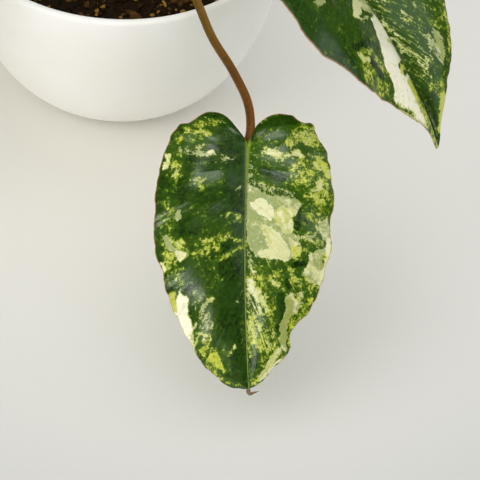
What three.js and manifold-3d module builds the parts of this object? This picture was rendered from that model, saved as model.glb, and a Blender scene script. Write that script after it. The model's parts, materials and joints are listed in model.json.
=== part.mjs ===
// A potted variegated philodendron: a white bowl pot, potting mix, two vine stems,
// eight heart-shaped leaves that hang from long stalks, and one leaf that is still rolled up.
// Millimetres, +Z up. The origin is the centre of the pot's flat foot, and the best leaf hangs towards -Y.
import * as THREE from "three";
import Module from "manifold-3d";
import { mergeVertices } from "three/addons/utils/BufferGeometryUtils.js";

// Driving dimensions of the pot and the soil
const POT_RADIUS = 70;
const POT_HEIGHT = 82;
const FOOT_RADIUS = 36;
const BOWL_POWER = 1.95; // 2 would make the wall a quarter of an ellipse
const LIP_WIDTH = 3.6;
const FOOT_WALL = 3; // how much smaller the bowl's inside is at the bottom
const LIP_ROUND = 1.2;
const FLOOR_THICKNESS = 5;
const SOIL_TOP = 72;
const SOIL_LUMPS = 1.1; // how far the soil's surface rolls up and down
const POT_SIDES = 40;
const GAP = 0.35; // clearance between two pieces that touch

// Driving dimensions of the plant
const BLADE_THICKNESS = 0.8;
const RIB_DEPTH = 1.1; // how far the midrib stands out of the back of a blade
const RIB_HALF_WIDTH = 2.2;
const RIB_START = 4; // how far from the stalk the midrib begins to stand out
const SEAT_DEPTH = 1.05; // from a blade's middle surface to the end of its stalk
const STALK_RADIUS = 1.65;
const STALK_FLARE = 1.35; // how much thicker a stalk is where it clasps the stem
const STEM_RADIUS = 3.4;
const STEM_TAPER = 0.28; // the share of its thickness that a stem loses on its way up
const NODE_SWELLING = 0.8;
const NODE_WIDTH = 0.022; // in shares of the stem's length
const ROOT_RADIUS = 1.1;
const STEM_FOOT = 44; // the height of the stems' lower ends, inside the soil
const STEM_HOLE = 4.4; // the radius of the plain holes they stand in
const VEIN_POWER = 2.4; // how the lateral veins crowd towards the stalk
const VEIN_LINEAR = 0.04; // the share of them that stands evenly along the midrib
const SPEAR_RADIUS = 3.3; // of the leaf that is still rolled up
const SPEAR_STALK_RADIUS = 1.5;

const wasm = await Module();
wasm.setup();

const rad = THREE.MathUtils.degToRad;

// Turns a closed geometry into a solid that can be joined and cut.
function toSolid(geometry) {
  const bare = geometry.clone();
  bare.deleteAttribute("normal");
  bare.deleteAttribute("uv");
  const merged = mergeVertices(bare, 1e-4);
  return new wasm.Manifold(
    new wasm.Mesh({
      numProp: 3,
      vertProperties: new Float32Array(merged.attributes.position.array),
      triVerts: new Uint32Array(merged.index.array),
    }),
  );
}

function toGeometry(solid) {
  const mesh = solid.getMesh();
  const geometry = new THREE.BufferGeometry();
  geometry.setAttribute("position", new THREE.BufferAttribute(mesh.vertProperties, 3));
  geometry.setIndex(new THREE.BufferAttribute(mesh.triVerts, 1));
  return geometry;
}

// Pot: the wall's radius at a height, for a bowl that rises from its foot to an upright rim.
function bowlRadius(foot, rim, share) {
  return foot + (rim - foot) * Math.pow(1 - Math.pow(1 - share, BOWL_POWER), 1 / BOWL_POWER);
}

const innerRim = POT_RADIUS - LIP_WIDTH;
const innerFoot = FOOT_RADIUS - FOOT_WALL;
const innerHeight = POT_HEIGHT - FLOOR_THICKNESS;
const outerRadiusAt = (z) => bowlRadius(FOOT_RADIUS, POT_RADIUS, z / POT_HEIGHT);
const innerRadiusAt = (z) => bowlRadius(innerFoot, innerRim, (z - FLOOR_THICKNESS) / innerHeight);

// Heights that crowd towards the foot, where the bowl turns fastest.
function crowded(from, to, steps) {
  return Array.from({ length: steps + 1 }, (_, i) => from + (to - from) * Math.pow(i / steps, 1.7));
}

function potGeometry() {
  const top = POT_HEIGHT - LIP_ROUND;
  const outside = crowded(0, top, 9).map((z) => new THREE.Vector2(outerRadiusAt(z), z));
  const inside = crowded(FLOOR_THICKNESS, top, 7).map((z) => new THREE.Vector2(innerRadiusAt(z), z));
  const round = LIP_ROUND * 0.3;
  const lip = [
    new THREE.Vector2(POT_RADIUS - round, POT_HEIGHT - round),
    new THREE.Vector2(POT_RADIUS - LIP_ROUND, POT_HEIGHT),
    new THREE.Vector2(innerRim + LIP_ROUND, POT_HEIGHT),
    new THREE.Vector2(innerRim + round, POT_HEIGHT - round),
  ];
  const foot = new THREE.Vector2(0, 0);
  const floor = new THREE.Vector2(0, FLOOR_THICKNESS);
  return new THREE.LatheGeometry([foot, ...outside, ...lip, ...inside.reverse(), floor], POT_SIDES);
}

// A tube along a curve, closed at both ends, whose radius changes along it.
function taperedTube(curve, radiusAt, sides, steps) {
  const frames = curve.computeFrenetFrames(steps, false);
  const position = [];
  const index = [];
  for (let i = 0; i <= steps; i += 1) {
    const centre = curve.getPointAt(i / steps);
    const radius = radiusAt(i / steps);
    for (let k = 0; k < sides; k += 1) {
      const turn = (2 * Math.PI * k) / sides;
      const point = centre
        .clone()
        .addScaledVector(frames.normals[i], radius * Math.cos(turn))
        .addScaledVector(frames.binormals[i], radius * Math.sin(turn));
      position.push(point.x, point.y, point.z);
    }
  }
  for (let i = 0; i < steps; i += 1) {
    for (let k = 0; k < sides; k += 1) {
      const here = i * sides + k;
      const beside = i * sides + ((k + 1) % sides);
      index.push(here, beside, here + sides, beside, beside + sides, here + sides);
    }
  }
  const last = steps * sides;
  for (let k = 1; k < sides - 1; k += 1) {
    index.push(0, k + 1, k);
    index.push(last, last + k, last + k + 1);
  }
  const geometry = new THREE.BufferGeometry();
  geometry.setAttribute("position", new THREE.Float32BufferAttribute(position, 3));
  geometry.setIndex(index);
  return geometry;
}

// Stems: each runs up out of the soil, with a swollen ring at every node.
const STEMS = {
  stem_tall: {
    path: [
      [-4, 7, STEM_FOOT],
      [-4, 7, 74],
      [0, 1, 96],
      [3, -3, 122],
      [0, 2, 150],
      [-4, 4, 172],
    ],
    nodes: [0.36, 0.47, 0.6, 0.76, 0.9],
  },
  stem_short: {
    path: [
      [-24, 24, STEM_FOOT],
      [-24, 24, 74],
      [-30, 27, 96],
      [-33, 33, 122],
      [-31, 36, 136],
    ],
    nodes: [0.42, 0.53, 0.66, 0.84],
  },
};

for (const stem of Object.values(STEMS)) {
  stem.curve = new THREE.CatmullRomCurve3(stem.path.map((p) => new THREE.Vector3(...p)));
}

function stemRadius(stem, t, extra = 0) {
  const swellings = stem.nodes.map((node) => NODE_SWELLING * Math.exp(-(((t - node) / NODE_WIDTH) ** 2)));
  return STEM_RADIUS * (1 - STEM_TAPER * t) + swellings.reduce((sum, swelling) => sum + swelling, extra);
}

function stemSolid(stem, extra = 0) {
  return toSolid(taperedTube(stem.curve, (t) => stemRadius(stem, t, extra), 10, 26));
}

// Short aerial roots that leave a stem just under its nodes and curl down to the soil.
function aerialRoot(stem, node, heading, reach, drop) {
  const start = stem.curve.getPointAt(node - 0.03);
  const out = new THREE.Vector3(Math.cos(rad(heading)), Math.sin(rad(heading)), 0);
  const end = start.clone().addScaledVector(out, reach).add(new THREE.Vector3(0, 0, -drop));
  const elbow = start.clone().addScaledVector(out, reach * 0.85).add(new THREE.Vector3(0, 0, -drop * 0.15));
  const curve = new THREE.QuadraticBezierCurve3(start, elbow, end);
  return toSolid(taperedTube(curve, (t) => ROOT_RADIUS * (1 - 0.45 * t), 6, 6));
}

const AERIAL_ROOTS = [
  { stem: "stem_tall", node: 0.36, heading: 200, reach: 13, drop: 8 },
  { stem: "stem_tall", node: 0.47, heading: 20, reach: 15, drop: 16 },
  { stem: "stem_short", node: 0.5, heading: 255, reach: 12, drop: 7 },
];

// Leaf outlines for one half of a blade: distance from the midrib, then distance along it,
// in shares of the blade's length from stalk to tip. Lobes reach back past the stalk, so they start negative.
const EVEN_HALF = [
  [0, 0],
  [0.05, -0.06],
  [0.12, -0.12],
  [0.21, -0.13],
  [0.29, -0.09],
  [0.345, 0],
  [0.37, 0.12],
  [0.375, 0.25],
  [0.36, 0.38],
  [0.32, 0.51],
  [0.25, 0.65],
  [0.165, 0.78],
  [0.085, 0.88],
  [0.038, 0.94],
  [0.014, 0.98],
  [0, 1],
];
const FRONT_LEFT_HALF = [
  [0, 0],
  [0.046, -0.06],
  [0.102, -0.115],
  [0.15, -0.122],
  [0.202, -0.109],
  [0.24, -0.084],
  [0.276, -0.074],
  [0.315, -0.024],
  [0.341, 0.06],
  [0.348, 0.12],
  [0.362, 0.233],
  [0.364, 0.305],
  [0.357, 0.435],
  [0.325, 0.525],
  [0.292, 0.678],
  [0.233, 0.798],
  [0.171, 0.909],
  [0.091, 0.978],
  [0.027, 0.998],
  [0, 1],
];
const FRONT_RIGHT_HALF = [
  [0, 0],
  [0.034, -0.06],
  [0.06, -0.09],
  [0.096, -0.115],
  [0.163, -0.125],
  [0.22, -0.092],
  [0.256, -0.081],
  [0.285, -0.025],
  [0.327, 0.063],
  [0.339, 0.144],
  [0.361, 0.233],
  [0.343, 0.33],
  [0.348, 0.379],
  [0.333, 0.485],
  [0.298, 0.609],
  [0.242, 0.699],
  [0.181, 0.774],
  [0.172, 0.839],
  [0.105, 0.919],
  [0.034, 0.985],
  [0, 1],
];
const RIGHT_LEFT_HALF = [
  [0, 0],
  [0.058, -0.06],
  [0.138, -0.12],
  [0.241, -0.13],
  [0.333, -0.09],
  [0.397, 0],
  [0.425, 0.12],
  [0.43, 0.25],
  [0.423, 0.382],
  [0.382, 0.516],
  [0.287, 0.649],
  [0.182, 0.774],
  [0.088, 0.873],
  [0.048, 0.943],
  [0.025, 0.982],
  [0, 1],
];
const RIGHT_RIGHT_HALF = [
  [0, 0],
  [0.051, -0.06],
  [0.122, -0.12],
  [0.214, -0.13],
  [0.296, -0.09],
  [0.352, 0],
  [0.377, 0.12],
  [0.383, 0.25],
  [0.367, 0.38],
  [0.326, 0.51],
  [0.261, 0.654],
  [0.165, 0.777],
  [0.078, 0.871],
  [0.028, 0.927],
  [0.01, 0.969],
  [0, 1],
];

// Leaves. stem and node say where the stalk springs from, and joint is where the blade hangs from it.
// via is the stalk's measured path, where the plain arch below doesn't serve. heading, droop and roll
// turn the blade, bend curls it downwards, fold and arch shape its halves, widen makes one half wider,
// ripple and waves lift its margin, phase shifts the waves, and sway bows the midrib to one side.
const LEAVES = [
  {
    name: "front",
    stem: "stem_tall",
    node: 0.36,
    joint: [62.4, -122.6, 79.2],
    via: [
      [13, -21, 96],
      [26, -43, 95.2],
      [37, -63, 92.5],
      [44.6, -77.4, 87.6],
      [54.3, -92, 84.4],
      [61.1, -106.3, 82.3],
      [62.9, -117.7, 79.2],
    ],
    length: 90,
    halves: [FRONT_LEFT_HALF, FRONT_RIGHT_HALF],
    widen: [1, 1],
    heading: -82,
    droop: 29,
    roll: 0,
    bend: 0.4,
    fold: 0.3,
    arch: 0.34,
    ripple: 0.014,
    waves: 5,
    phase: [0.1, 0.35],
    sway: -0.018,
    rows: 30,
  },
  {
    name: "right",
    stem: "stem_tall",
    node: 0.6,
    joint: [67, -58, 135],
    length: 106,
    halves: [RIGHT_LEFT_HALF, RIGHT_RIGHT_HALF],
    widen: [1, 1],
    heading: -33,
    droop: 29.7,
    roll: 6.4,
    bend: 0.37,
    fold: 0.5,
    arch: 0.3,
    ripple: 0.012,
    waves: 4.5,
    phase: [0.2, 0.6],
    sway: 0.05,
    rows: 24,
  },
  {
    name: "left",
    stem: "stem_tall",
    node: 0.47,
    joint: [-74, -46, 124],
    length: 96,
    halves: [EVEN_HALF, EVEN_HALF],
    widen: [1, 1.04],
    heading: 204,
    droop: 30,
    roll: -8,
    bend: 0.5,
    fold: 0.32,
    arch: 0.36,
    ripple: 0.016,
    waves: 4.2,
    phase: [0.5, 0.05],
    sway: 0.02,
    rows: 20,
  },
  {
    name: "back_right",
    stem: "stem_tall",
    node: 0.76,
    joint: [62, 52, 168],
    length: 102,
    halves: [EVEN_HALF, EVEN_HALF],
    widen: [1, 0.97],
    heading: 40,
    droop: 26,
    roll: 7,
    bend: 0.55,
    fold: 0.34,
    arch: 0.36,
    ripple: 0.015,
    waves: 4.8,
    phase: [0.15, 0.7],
    sway: -0.02,
    rows: 20,
  },
  {
    name: "top",
    stem: "stem_tall",
    node: 0.9,
    joint: [-22, -34, 214],
    length: 78,
    halves: [EVEN_HALF, EVEN_HALF],
    widen: [0.95, 0.95],
    heading: 242,
    droop: 18,
    roll: -4,
    bend: 0.5,
    fold: 0.42,
    arch: 0.3,
    ripple: 0.012,
    waves: 4,
    phase: [0.35, 0.8],
    sway: 0.015,
    rows: 20,
  },
  {
    name: "low_left",
    stem: "stem_short",
    node: 0.42,
    joint: [-98, 34, 92],
    length: 84,
    halves: [EVEN_HALF, EVEN_HALF],
    widen: [1.03, 1],
    heading: 172,
    droop: 34,
    roll: 5,
    bend: 0.45,
    fold: 0.3,
    arch: 0.36,
    ripple: 0.016,
    waves: 4.4,
    phase: [0.6, 0.25],
    sway: -0.015,
    rows: 20,
  },
  {
    name: "back",
    stem: "stem_short",
    node: 0.66,
    joint: [2, 104, 112],
    length: 92,
    halves: [EVEN_HALF, EVEN_HALF],
    widen: [1, 1.03],
    heading: 84,
    droop: 33,
    roll: -5,
    bend: 0.45,
    fold: 0.33,
    arch: 0.35,
    ripple: 0.014,
    waves: 4.6,
    phase: [0.8, 0.4],
    sway: 0.02,
    rows: 20,
  },
  {
    name: "back_left",
    stem: "stem_short",
    node: 0.84,
    joint: [-74, 74, 166],
    length: 98,
    halves: [EVEN_HALF, EVEN_HALF],
    widen: [1.02, 1],
    heading: 136,
    droop: 27,
    roll: 6,
    bend: 0.52,
    fold: 0.35,
    arch: 0.35,
    ripple: 0.015,
    waves: 4.3,
    phase: [0.3, 0.9],
    sway: 0.018,
    rows: 20,
  },
];

// The blade's own axes: Y runs along the midrib to the tip and Z stands on its upper face.
function bladeAxes(leaf) {
  const heading = rad(leaf.heading);
  const droop = rad(leaf.droop);
  const along = new THREE.Vector3(
    Math.cos(heading) * Math.cos(droop),
    Math.sin(heading) * Math.cos(droop),
    -Math.sin(droop),
  );
  const level = new THREE.Vector3(
    Math.cos(heading) * Math.sin(droop),
    Math.sin(heading) * Math.sin(droop),
    Math.cos(droop),
  );
  const up = level.applyAxisAngle(along, -rad(leaf.roll));
  return { across: new THREE.Vector3().crossVectors(along, up), along, up };
}

// One point of a blade's middle surface. side is -1 on the left half and 1 on the right, vein runs from
// 0 at the stalk to 1 at the tip, and out from 0 on the midrib to 1 on the margin.
function bladePoint(leaf, side, vein, out, margin, halfWidth) {
  const origin = leaf.length * (VEIN_LINEAR * vein + (1 - VEIN_LINEAR) * Math.pow(vein, VEIN_POWER));
  const middle = [0.55 * margin.x, origin + 0.35 * (margin.y - origin)];
  const a = 2 * out * (1 - out) * middle[0] + out * out * margin.x;
  const l = (1 - out) * (1 - out) * origin + 2 * out * (1 - out) * middle[1] + out * out * margin.y;
  const fade = Math.sqrt(Math.max(Math.sin(Math.PI * vein), 0));
  const phase = leaf.phase[side < 0 ? 0 : 1];
  const wave = Math.sin(2 * Math.PI * (leaf.waves * vein + phase));
  const rise =
    fade * halfWidth * (leaf.fold * out - leaf.arch * out * out) +
    fade * fade * leaf.ripple * leaf.length * Math.pow(out, 2.5) * wave;
  const share = THREE.MathUtils.clamp(l / leaf.length, 0, 1);
  const x = side * a + leaf.sway * leaf.length * Math.sin(Math.PI * share);
  const curl = leaf.bend / leaf.length;
  const normal = new THREE.Vector3(0, Math.sin(curl * l), Math.cos(curl * l));
  const point = new THREE.Vector3(-x, Math.sin(curl * l) / curl, -(1 - Math.cos(curl * l)) / curl);
  return { point: point.addScaledVector(normal, rise), normal, a, l };
}

// How far the midrib stands out of the blade's back.
function ribDepth(leaf, a, l) {
  const along = THREE.MathUtils.clamp(l / leaf.length, 0, 1);
  const start = THREE.MathUtils.clamp((l - RIB_START) / RIB_START, 0, 1);
  return RIB_DEPTH * start * (1 - along) * Math.max(0, 1 - a / RIB_HALF_WIDTH);
}

// A blade: an upper and a lower skin with the same triangles, joined along the margin.
const BLADE_COLUMNS = [0.07, 0.34, 0.67, 1];

function bladeGeometry(leaf) {
  const curves = leaf.halves.map((half, i) => {
    return new THREE.SplineCurve(
      half.map(([a, l]) => new THREE.Vector2(a * leaf.length * leaf.widen[i], l * leaf.length)),
    );
  });
  const halfWidths = leaf.halves.map((half, i) => {
    return Math.max(...half.map((p) => p[0])) * leaf.length * leaf.widen[i];
  });
  const columns = BLADE_COLUMNS.length;
  const width = 2 * columns + 1;
  const skin = [];
  for (let row = 1; row < leaf.rows; row += 1) {
    const vein = row / leaf.rows;
    const margins = curves.map((curve) => curve.getPointAt(vein));
    for (let column = -columns; column <= columns; column += 1) {
      const half = column < 0 ? 0 : 1;
      const out = column === 0 ? 0 : BLADE_COLUMNS[Math.abs(column) - 1];
      skin.push(bladePoint(leaf, column < 0 ? -1 : 1, vein, out, margins[half], halfWidths[half]));
    }
  }
  const stalkEnd = skin.push(bladePoint(leaf, 1, 0, 0, curves[1].getPointAt(0), 0)) - 1;
  const tip = skin.push(bladePoint(leaf, 1, 1, 0, curves[1].getPointAt(1), 0)) - 1;
  const faces = [];
  const lastRow = (leaf.rows - 2) * width;
  for (let column = 0; column < width - 1; column += 1) {
    faces.push([stalkEnd, column, column + 1]);
    faces.push([tip, lastRow + column + 1, lastRow + column]);
    for (let row = 0; row < leaf.rows - 2; row += 1) {
      const here = row * width + column;
      // The diagonals lean towards the tip on both halves, as the veins do.
      if (column < columns) {
        faces.push([here, here + width, here + 1], [here + 1, here + width, here + width + 1]);
      } else {
        faces.push([here, here + width, here + width + 1], [here, here + width + 1, here + 1]);
      }
    }
  }
  const rows = Array.from({ length: leaf.rows - 1 }, (_, row) => row * width);
  const rim = [stalkEnd, ...rows, tip, ...rows.map((start) => start + width - 1).reverse()];
  const position = [];
  for (const p of skin) {
    const top = p.point.clone().addScaledVector(p.normal, BLADE_THICKNESS / 2);
    position.push(top.x, top.y, top.z);
  }
  for (const p of skin) {
    const depth = BLADE_THICKNESS / 2 + ribDepth(leaf, p.a, p.l);
    const under = p.point.clone().addScaledVector(p.normal, -depth);
    position.push(under.x, under.y, under.z);
  }
  const count = skin.length;
  const index = [];
  for (const [a, b, c] of faces) {
    index.push(a, b, c, a + count, c + count, b + count);
  }
  rim.forEach((a, i) => {
    const b = rim[(i + 1) % rim.length];
    index.push(a, a + count, b, b, a + count, b + count);
  });
  const geometry = new THREE.BufferGeometry();
  geometry.setAttribute("position", new THREE.Float32BufferAttribute(position, 3));
  geometry.setIndex(index);
  // The leaf's X axis points left when its upper face is seen, so the triangles are turned round.
  if (toSolid(geometry).volume() < 0) {
    for (let i = 0; i < index.length; i += 3) {
      [index[i + 1], index[i + 2]] = [index[i + 2], index[i + 1]];
    }
    geometry.setIndex(index);
  }
  return geometry;
}

// A stalk rises from its node, arches over and meets the back of the blade at the sinus.
function stalkCurve(leaf) {
  const start = STEMS[leaf.stem].curve.getPointAt(leaf.node);
  const axes = bladeAxes(leaf);
  const joint = new THREE.Vector3(...leaf.joint);
  if (leaf.via) {
    const end = joint.addScaledVector(axes.up, -(SEAT_DEPTH + STALK_RADIUS));
    return new THREE.CatmullRomCurve3([start, ...leaf.via.map((p) => new THREE.Vector3(...p)), end]);
  }
  const span = start.distanceTo(joint);
  const outward = joint.clone().sub(start).setZ(0).normalize();
  const rising = outward.multiplyScalar(0.62).add(new THREE.Vector3(0, 0, 0.78));
  const arriving = axes.along.clone().multiplyScalar(0.8).addScaledVector(axes.up, 0.6);
  return new THREE.CubicBezierCurve3(
    start,
    start.clone().addScaledVector(rising, span * 0.42),
    joint.clone().addScaledVector(arriving, -span * 0.34),
    joint,
  );
}

// The stalk is cut clear of its stem, and along the back of the blade that it carries.
function stalkGeometry(leaf) {
  const thickness = (t) => STALK_RADIUS * (1 + (STALK_FLARE - 1) * Math.exp(-t * 14));
  const tube = toSolid(taperedTube(stalkCurve(leaf), thickness, 8, 14));
  const down = bladeAxes(leaf).up.negate();
  const seat = down.dot(new THREE.Vector3(...leaf.joint)) + SEAT_DEPTH;
  const freed = tube.subtract(stemSolid(STEMS[leaf.stem], GAP));
  return toGeometry(freed.trimByPlane(down.toArray(), seat));
}

// The youngest leaf is still rolled into a spear on its own short stalk, at the end of the tall stem.
const SPEAR_STALK = [
  [-4, 4, 172.5],
  [-5, 4.5, 186],
  [-7, 5, 200],
];
const SPEAR = [
  [-7, 5, 200.35],
  [-9.5, 6, 216],
  [-13, 8, 238],
  [-19, 11, 262],
];

function curveThrough(points) {
  return new THREE.CatmullRomCurve3(points.map((p) => new THREE.Vector3(...p)));
}

function spearRadius(t) {
  return 0.5 + SPEAR_RADIUS * Math.pow(Math.sin(Math.PI * Math.pow(0.16 + 0.84 * t, 0.8)), 0.8);
}

// Soil: it fills the bowl, with a rolling top that holds half-buried pieces of bark.
function soilSurface(x, y) {
  const rolls = Math.sin(x * 0.31 + 1) * Math.cos(y * 0.27) + 0.6 * Math.sin(x * 0.13 - y * 0.45);
  return SOIL_TOP + SOIL_LUMPS * rolls - 0.0007 * (x * x + y * y);
}

function soilBody() {
  const rings = 5;
  const profile = [new THREE.Vector2(0, FLOOR_THICKNESS + GAP)];
  for (const z of crowded(FLOOR_THICKNESS, SOIL_TOP - 3, 7)) {
    profile.push(new THREE.Vector2(innerRadiusAt(z) - GAP * 1.6, z + GAP));
  }
  const edge = profile[profile.length - 1].x;
  for (let i = 1; i <= rings; i += 1) {
    profile.push(new THREE.Vector2(edge * (1 - i / rings), SOIL_TOP));
  }
  const lathe = new THREE.LatheGeometry(profile, POT_SIDES);
  const position = lathe.attributes.position;
  for (let i = 0; i < position.count; i += 1) {
    // A lathe turns its profile about Y, so the height is the second number until it is turned upright.
    if (position.getY(i) > SOIL_TOP - 0.01) {
      position.setY(i, soilSurface(position.getX(i), position.getZ(i)));
    }
  }
  lathe.rotateX(Math.PI / 2);
  return toSolid(lathe);
}

// Pieces of bark that stand half out of the soil: where, how long, and which way each one points.
const BARK_CHIPS = [
  [30, -38, 5.5, 20],
  [44, -12, 4.2, 75],
  [12, -50, 4.6, 140],
  [-20, -42, 5.2, 60],
  [-44, -20, 4.4, 110],
  [22, -18, 3.8, 160],
  [-48, 14, 5, 30],
  [-8, -22, 4, 95],
  [38, 22, 5.4, 130],
  [10, 46, 4.6, 10],
  [-10, 52, 4.2, 70],
  [26, 2, 3.6, 45],
  [-30, -4, 3.8, 150],
];

function barkChip(x, y, size, turn) {
  const chip = new THREE.IcosahedronGeometry(1, 0);
  chip.scale(size, size * 0.55, size * 0.42);
  chip.rotateX(0.3);
  chip.rotateZ(rad(turn));
  chip.translate(x, y, soilSurface(x, -y) - size * 0.05);
  return toSolid(chip);
}

function soilGeometry() {
  let soil = soilBody();
  for (const chip of BARK_CHIPS) {
    soil = soil.add(barkChip(...chip));
  }
  for (const stem of Object.values(STEMS)) {
    const hole = new THREE.CylinderGeometry(STEM_HOLE, STEM_HOLE, 60, 16);
    hole.rotateX(Math.PI / 2);
    hole.translate(stem.path[0][0], stem.path[0][1], STEM_FOOT - GAP + 30);
    soil = soil.subtract(toSolid(hole));
  }
  return toGeometry(soil.simplify(0.02));
}

// Materials, as the photograph shows them
const glaze = new THREE.MeshStandardMaterial({ color: 0xeeece6, roughness: 0.35 });
const soilMix = new THREE.MeshStandardMaterial({ color: 0x33230f, roughness: 1 });
const bark = new THREE.MeshStandardMaterial({ color: 0x6d5a2c, roughness: 0.6 });
const stalkSkin = new THREE.MeshStandardMaterial({ color: 0x8a4f2a, roughness: 0.45 });
const leafSkin = new THREE.MeshStandardMaterial({ color: 0x4c6f2a, roughness: 0.35 });
const youngSkin = new THREE.MeshStandardMaterial({ color: 0xa9b85c, roughness: 0.4 });

const plant = new THREE.Group();

function addPiece(name, geometry, material) {
  const mesh = new THREE.Mesh(geometry, material);
  mesh.name = name;
  plant.add(mesh);
  return mesh;
}

const pot = addPiece("pot", potGeometry(), glaze);
pot.rotation.x = Math.PI / 2;
addPiece("soil", soilGeometry(), soilMix);

for (const [name, stem] of Object.entries(STEMS)) {
  let body = stemSolid(stem);
  for (const root of AERIAL_ROOTS.filter((r) => r.stem === name)) {
    body = body.add(aerialRoot(stem, root.node, root.heading, root.reach, root.drop));
  }
  addPiece(name, toGeometry(body), bark);
}

for (const leaf of LEAVES) {
  addPiece(`stalk_${leaf.name}`, stalkGeometry(leaf), stalkSkin);
  const blade = addPiece(`leaf_${leaf.name}`, bladeGeometry(leaf), leafSkin);
  const axes = bladeAxes(leaf);
  blade.quaternion.setFromRotationMatrix(new THREE.Matrix4().makeBasis(axes.across, axes.along, axes.up));
  blade.position.set(...leaf.joint);
}

const spearStalk = toSolid(taperedTube(curveThrough(SPEAR_STALK), () => SPEAR_STALK_RADIUS, 8, 6));
addPiece("stalk_rolled", toGeometry(spearStalk.subtract(stemSolid(STEMS.stem_tall, GAP))), stalkSkin);
addPiece("leaf_rolled", taperedTube(curveThrough(SPEAR), spearRadius, 10, 14), youngSkin);

export default plant;
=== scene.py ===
# %% [markdown]
# # A potted variegated philodendron
#
# The real plant is a young climbing vine in a white bowl pot. Its heart-shaped leaves hang from long
# stalks, and each one is marbled in its own way: dark green, lime, sage and cream. One leaf hangs low
# over the rim towards the viewer and shows all its markings, so most of the work goes there.
#
# The packed CAD model is the frame. Every piece below takes the place of one of its solids, at the
# same size and in the same spot, and adds the form and the finish that a faceted solid can't have.

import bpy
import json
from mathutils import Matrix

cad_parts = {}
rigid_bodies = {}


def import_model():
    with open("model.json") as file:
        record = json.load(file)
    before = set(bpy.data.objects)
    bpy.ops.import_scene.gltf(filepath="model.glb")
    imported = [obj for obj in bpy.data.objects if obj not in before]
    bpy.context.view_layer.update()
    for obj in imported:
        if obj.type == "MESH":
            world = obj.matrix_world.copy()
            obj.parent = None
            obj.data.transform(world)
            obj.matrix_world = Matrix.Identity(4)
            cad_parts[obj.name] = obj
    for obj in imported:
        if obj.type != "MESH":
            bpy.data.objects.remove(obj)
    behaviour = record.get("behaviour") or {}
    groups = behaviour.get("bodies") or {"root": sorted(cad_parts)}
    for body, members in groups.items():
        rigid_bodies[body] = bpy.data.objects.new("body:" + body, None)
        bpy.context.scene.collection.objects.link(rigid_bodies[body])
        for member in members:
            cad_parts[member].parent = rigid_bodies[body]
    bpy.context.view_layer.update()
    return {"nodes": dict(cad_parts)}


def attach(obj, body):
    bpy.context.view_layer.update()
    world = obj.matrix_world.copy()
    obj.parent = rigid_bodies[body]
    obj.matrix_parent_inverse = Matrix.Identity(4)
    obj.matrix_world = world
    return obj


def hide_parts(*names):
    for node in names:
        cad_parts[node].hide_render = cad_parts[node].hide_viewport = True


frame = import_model()
print("solids in the frame:", len(frame["nodes"]))

# %% Libraries and units
import json
import math
from contextlib import contextmanager

import bpy
import numpy as np
from mathutils import Matrix, Vector, noise

MM = 0.001  # Blender works in metres here, and a plant is easier to describe in millimetres
FULL_TURN = 2 * math.pi


def srgb(red, green, blue):
    """A colour as a paint chart gives it, 0 to 255, turned into the light values that Blender uses."""
    values = [channel / 255 for channel in (red, green, blue)]
    linear = [v / 12.92 if v <= 0.04045 else ((v + 0.055) / 1.055) ** 2.4 for v in values]
    return (*linear, 1.0)


print("mid grey in light values:", [round(v, 3) for v in srgb(128, 128, 128)[:3]])

# %% [markdown]
# ## Camera
#
# The photograph looks down at about 50 degrees from close by, with the camera tipped a little to one
# side. A long lens keeps the leaf's shape calm. The camera's axes are worked out first and then put
# into its matrix, which is clearer than three angles that turn each other.

# %% Place the camera
CAMERA_PLACE = Vector((63.2, -503.6, 478.3)) * MM
LOOK_DOWN = math.radians(50)
CAMERA_TIP = -0.104  # radians
VIEW_ANGLE = math.radians(18)

ahead = Vector((0, math.cos(LOOK_DOWN), -math.sin(LOOK_DOWN)))
level_up = Vector((0, math.sin(LOOK_DOWN), math.cos(LOOK_DOWN)))
level_right = Vector((1, 0, 0))
camera_up = level_up * math.cos(CAMERA_TIP) + level_right * math.sin(CAMERA_TIP)
camera_right = level_right * math.cos(CAMERA_TIP) - level_up * math.sin(CAMERA_TIP)

bpy.ops.object.camera_add()
camera = bpy.context.object
camera.name = "camera"
camera.data.angle = VIEW_ANGLE
axes = Matrix((camera_right, camera_up, -ahead)).transposed().to_4x4()
camera.matrix_world = Matrix.Translation(CAMERA_PLACE) @ axes
bpy.context.scene.camera = camera
print("lens in mm:", round(camera.data.lens, 1))

# %% [markdown]
# ## A recipe for a finish
#
# A material is a small network of nodes. A Recipe holds one such network and adds to it: a node, a mix
# of two colours, a product, a smooth step. Each method takes either a plain value or another node's
# output, so that a finish reads like a recipe. Patterns are laid out in millimetres.

# %% The recipe


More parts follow.
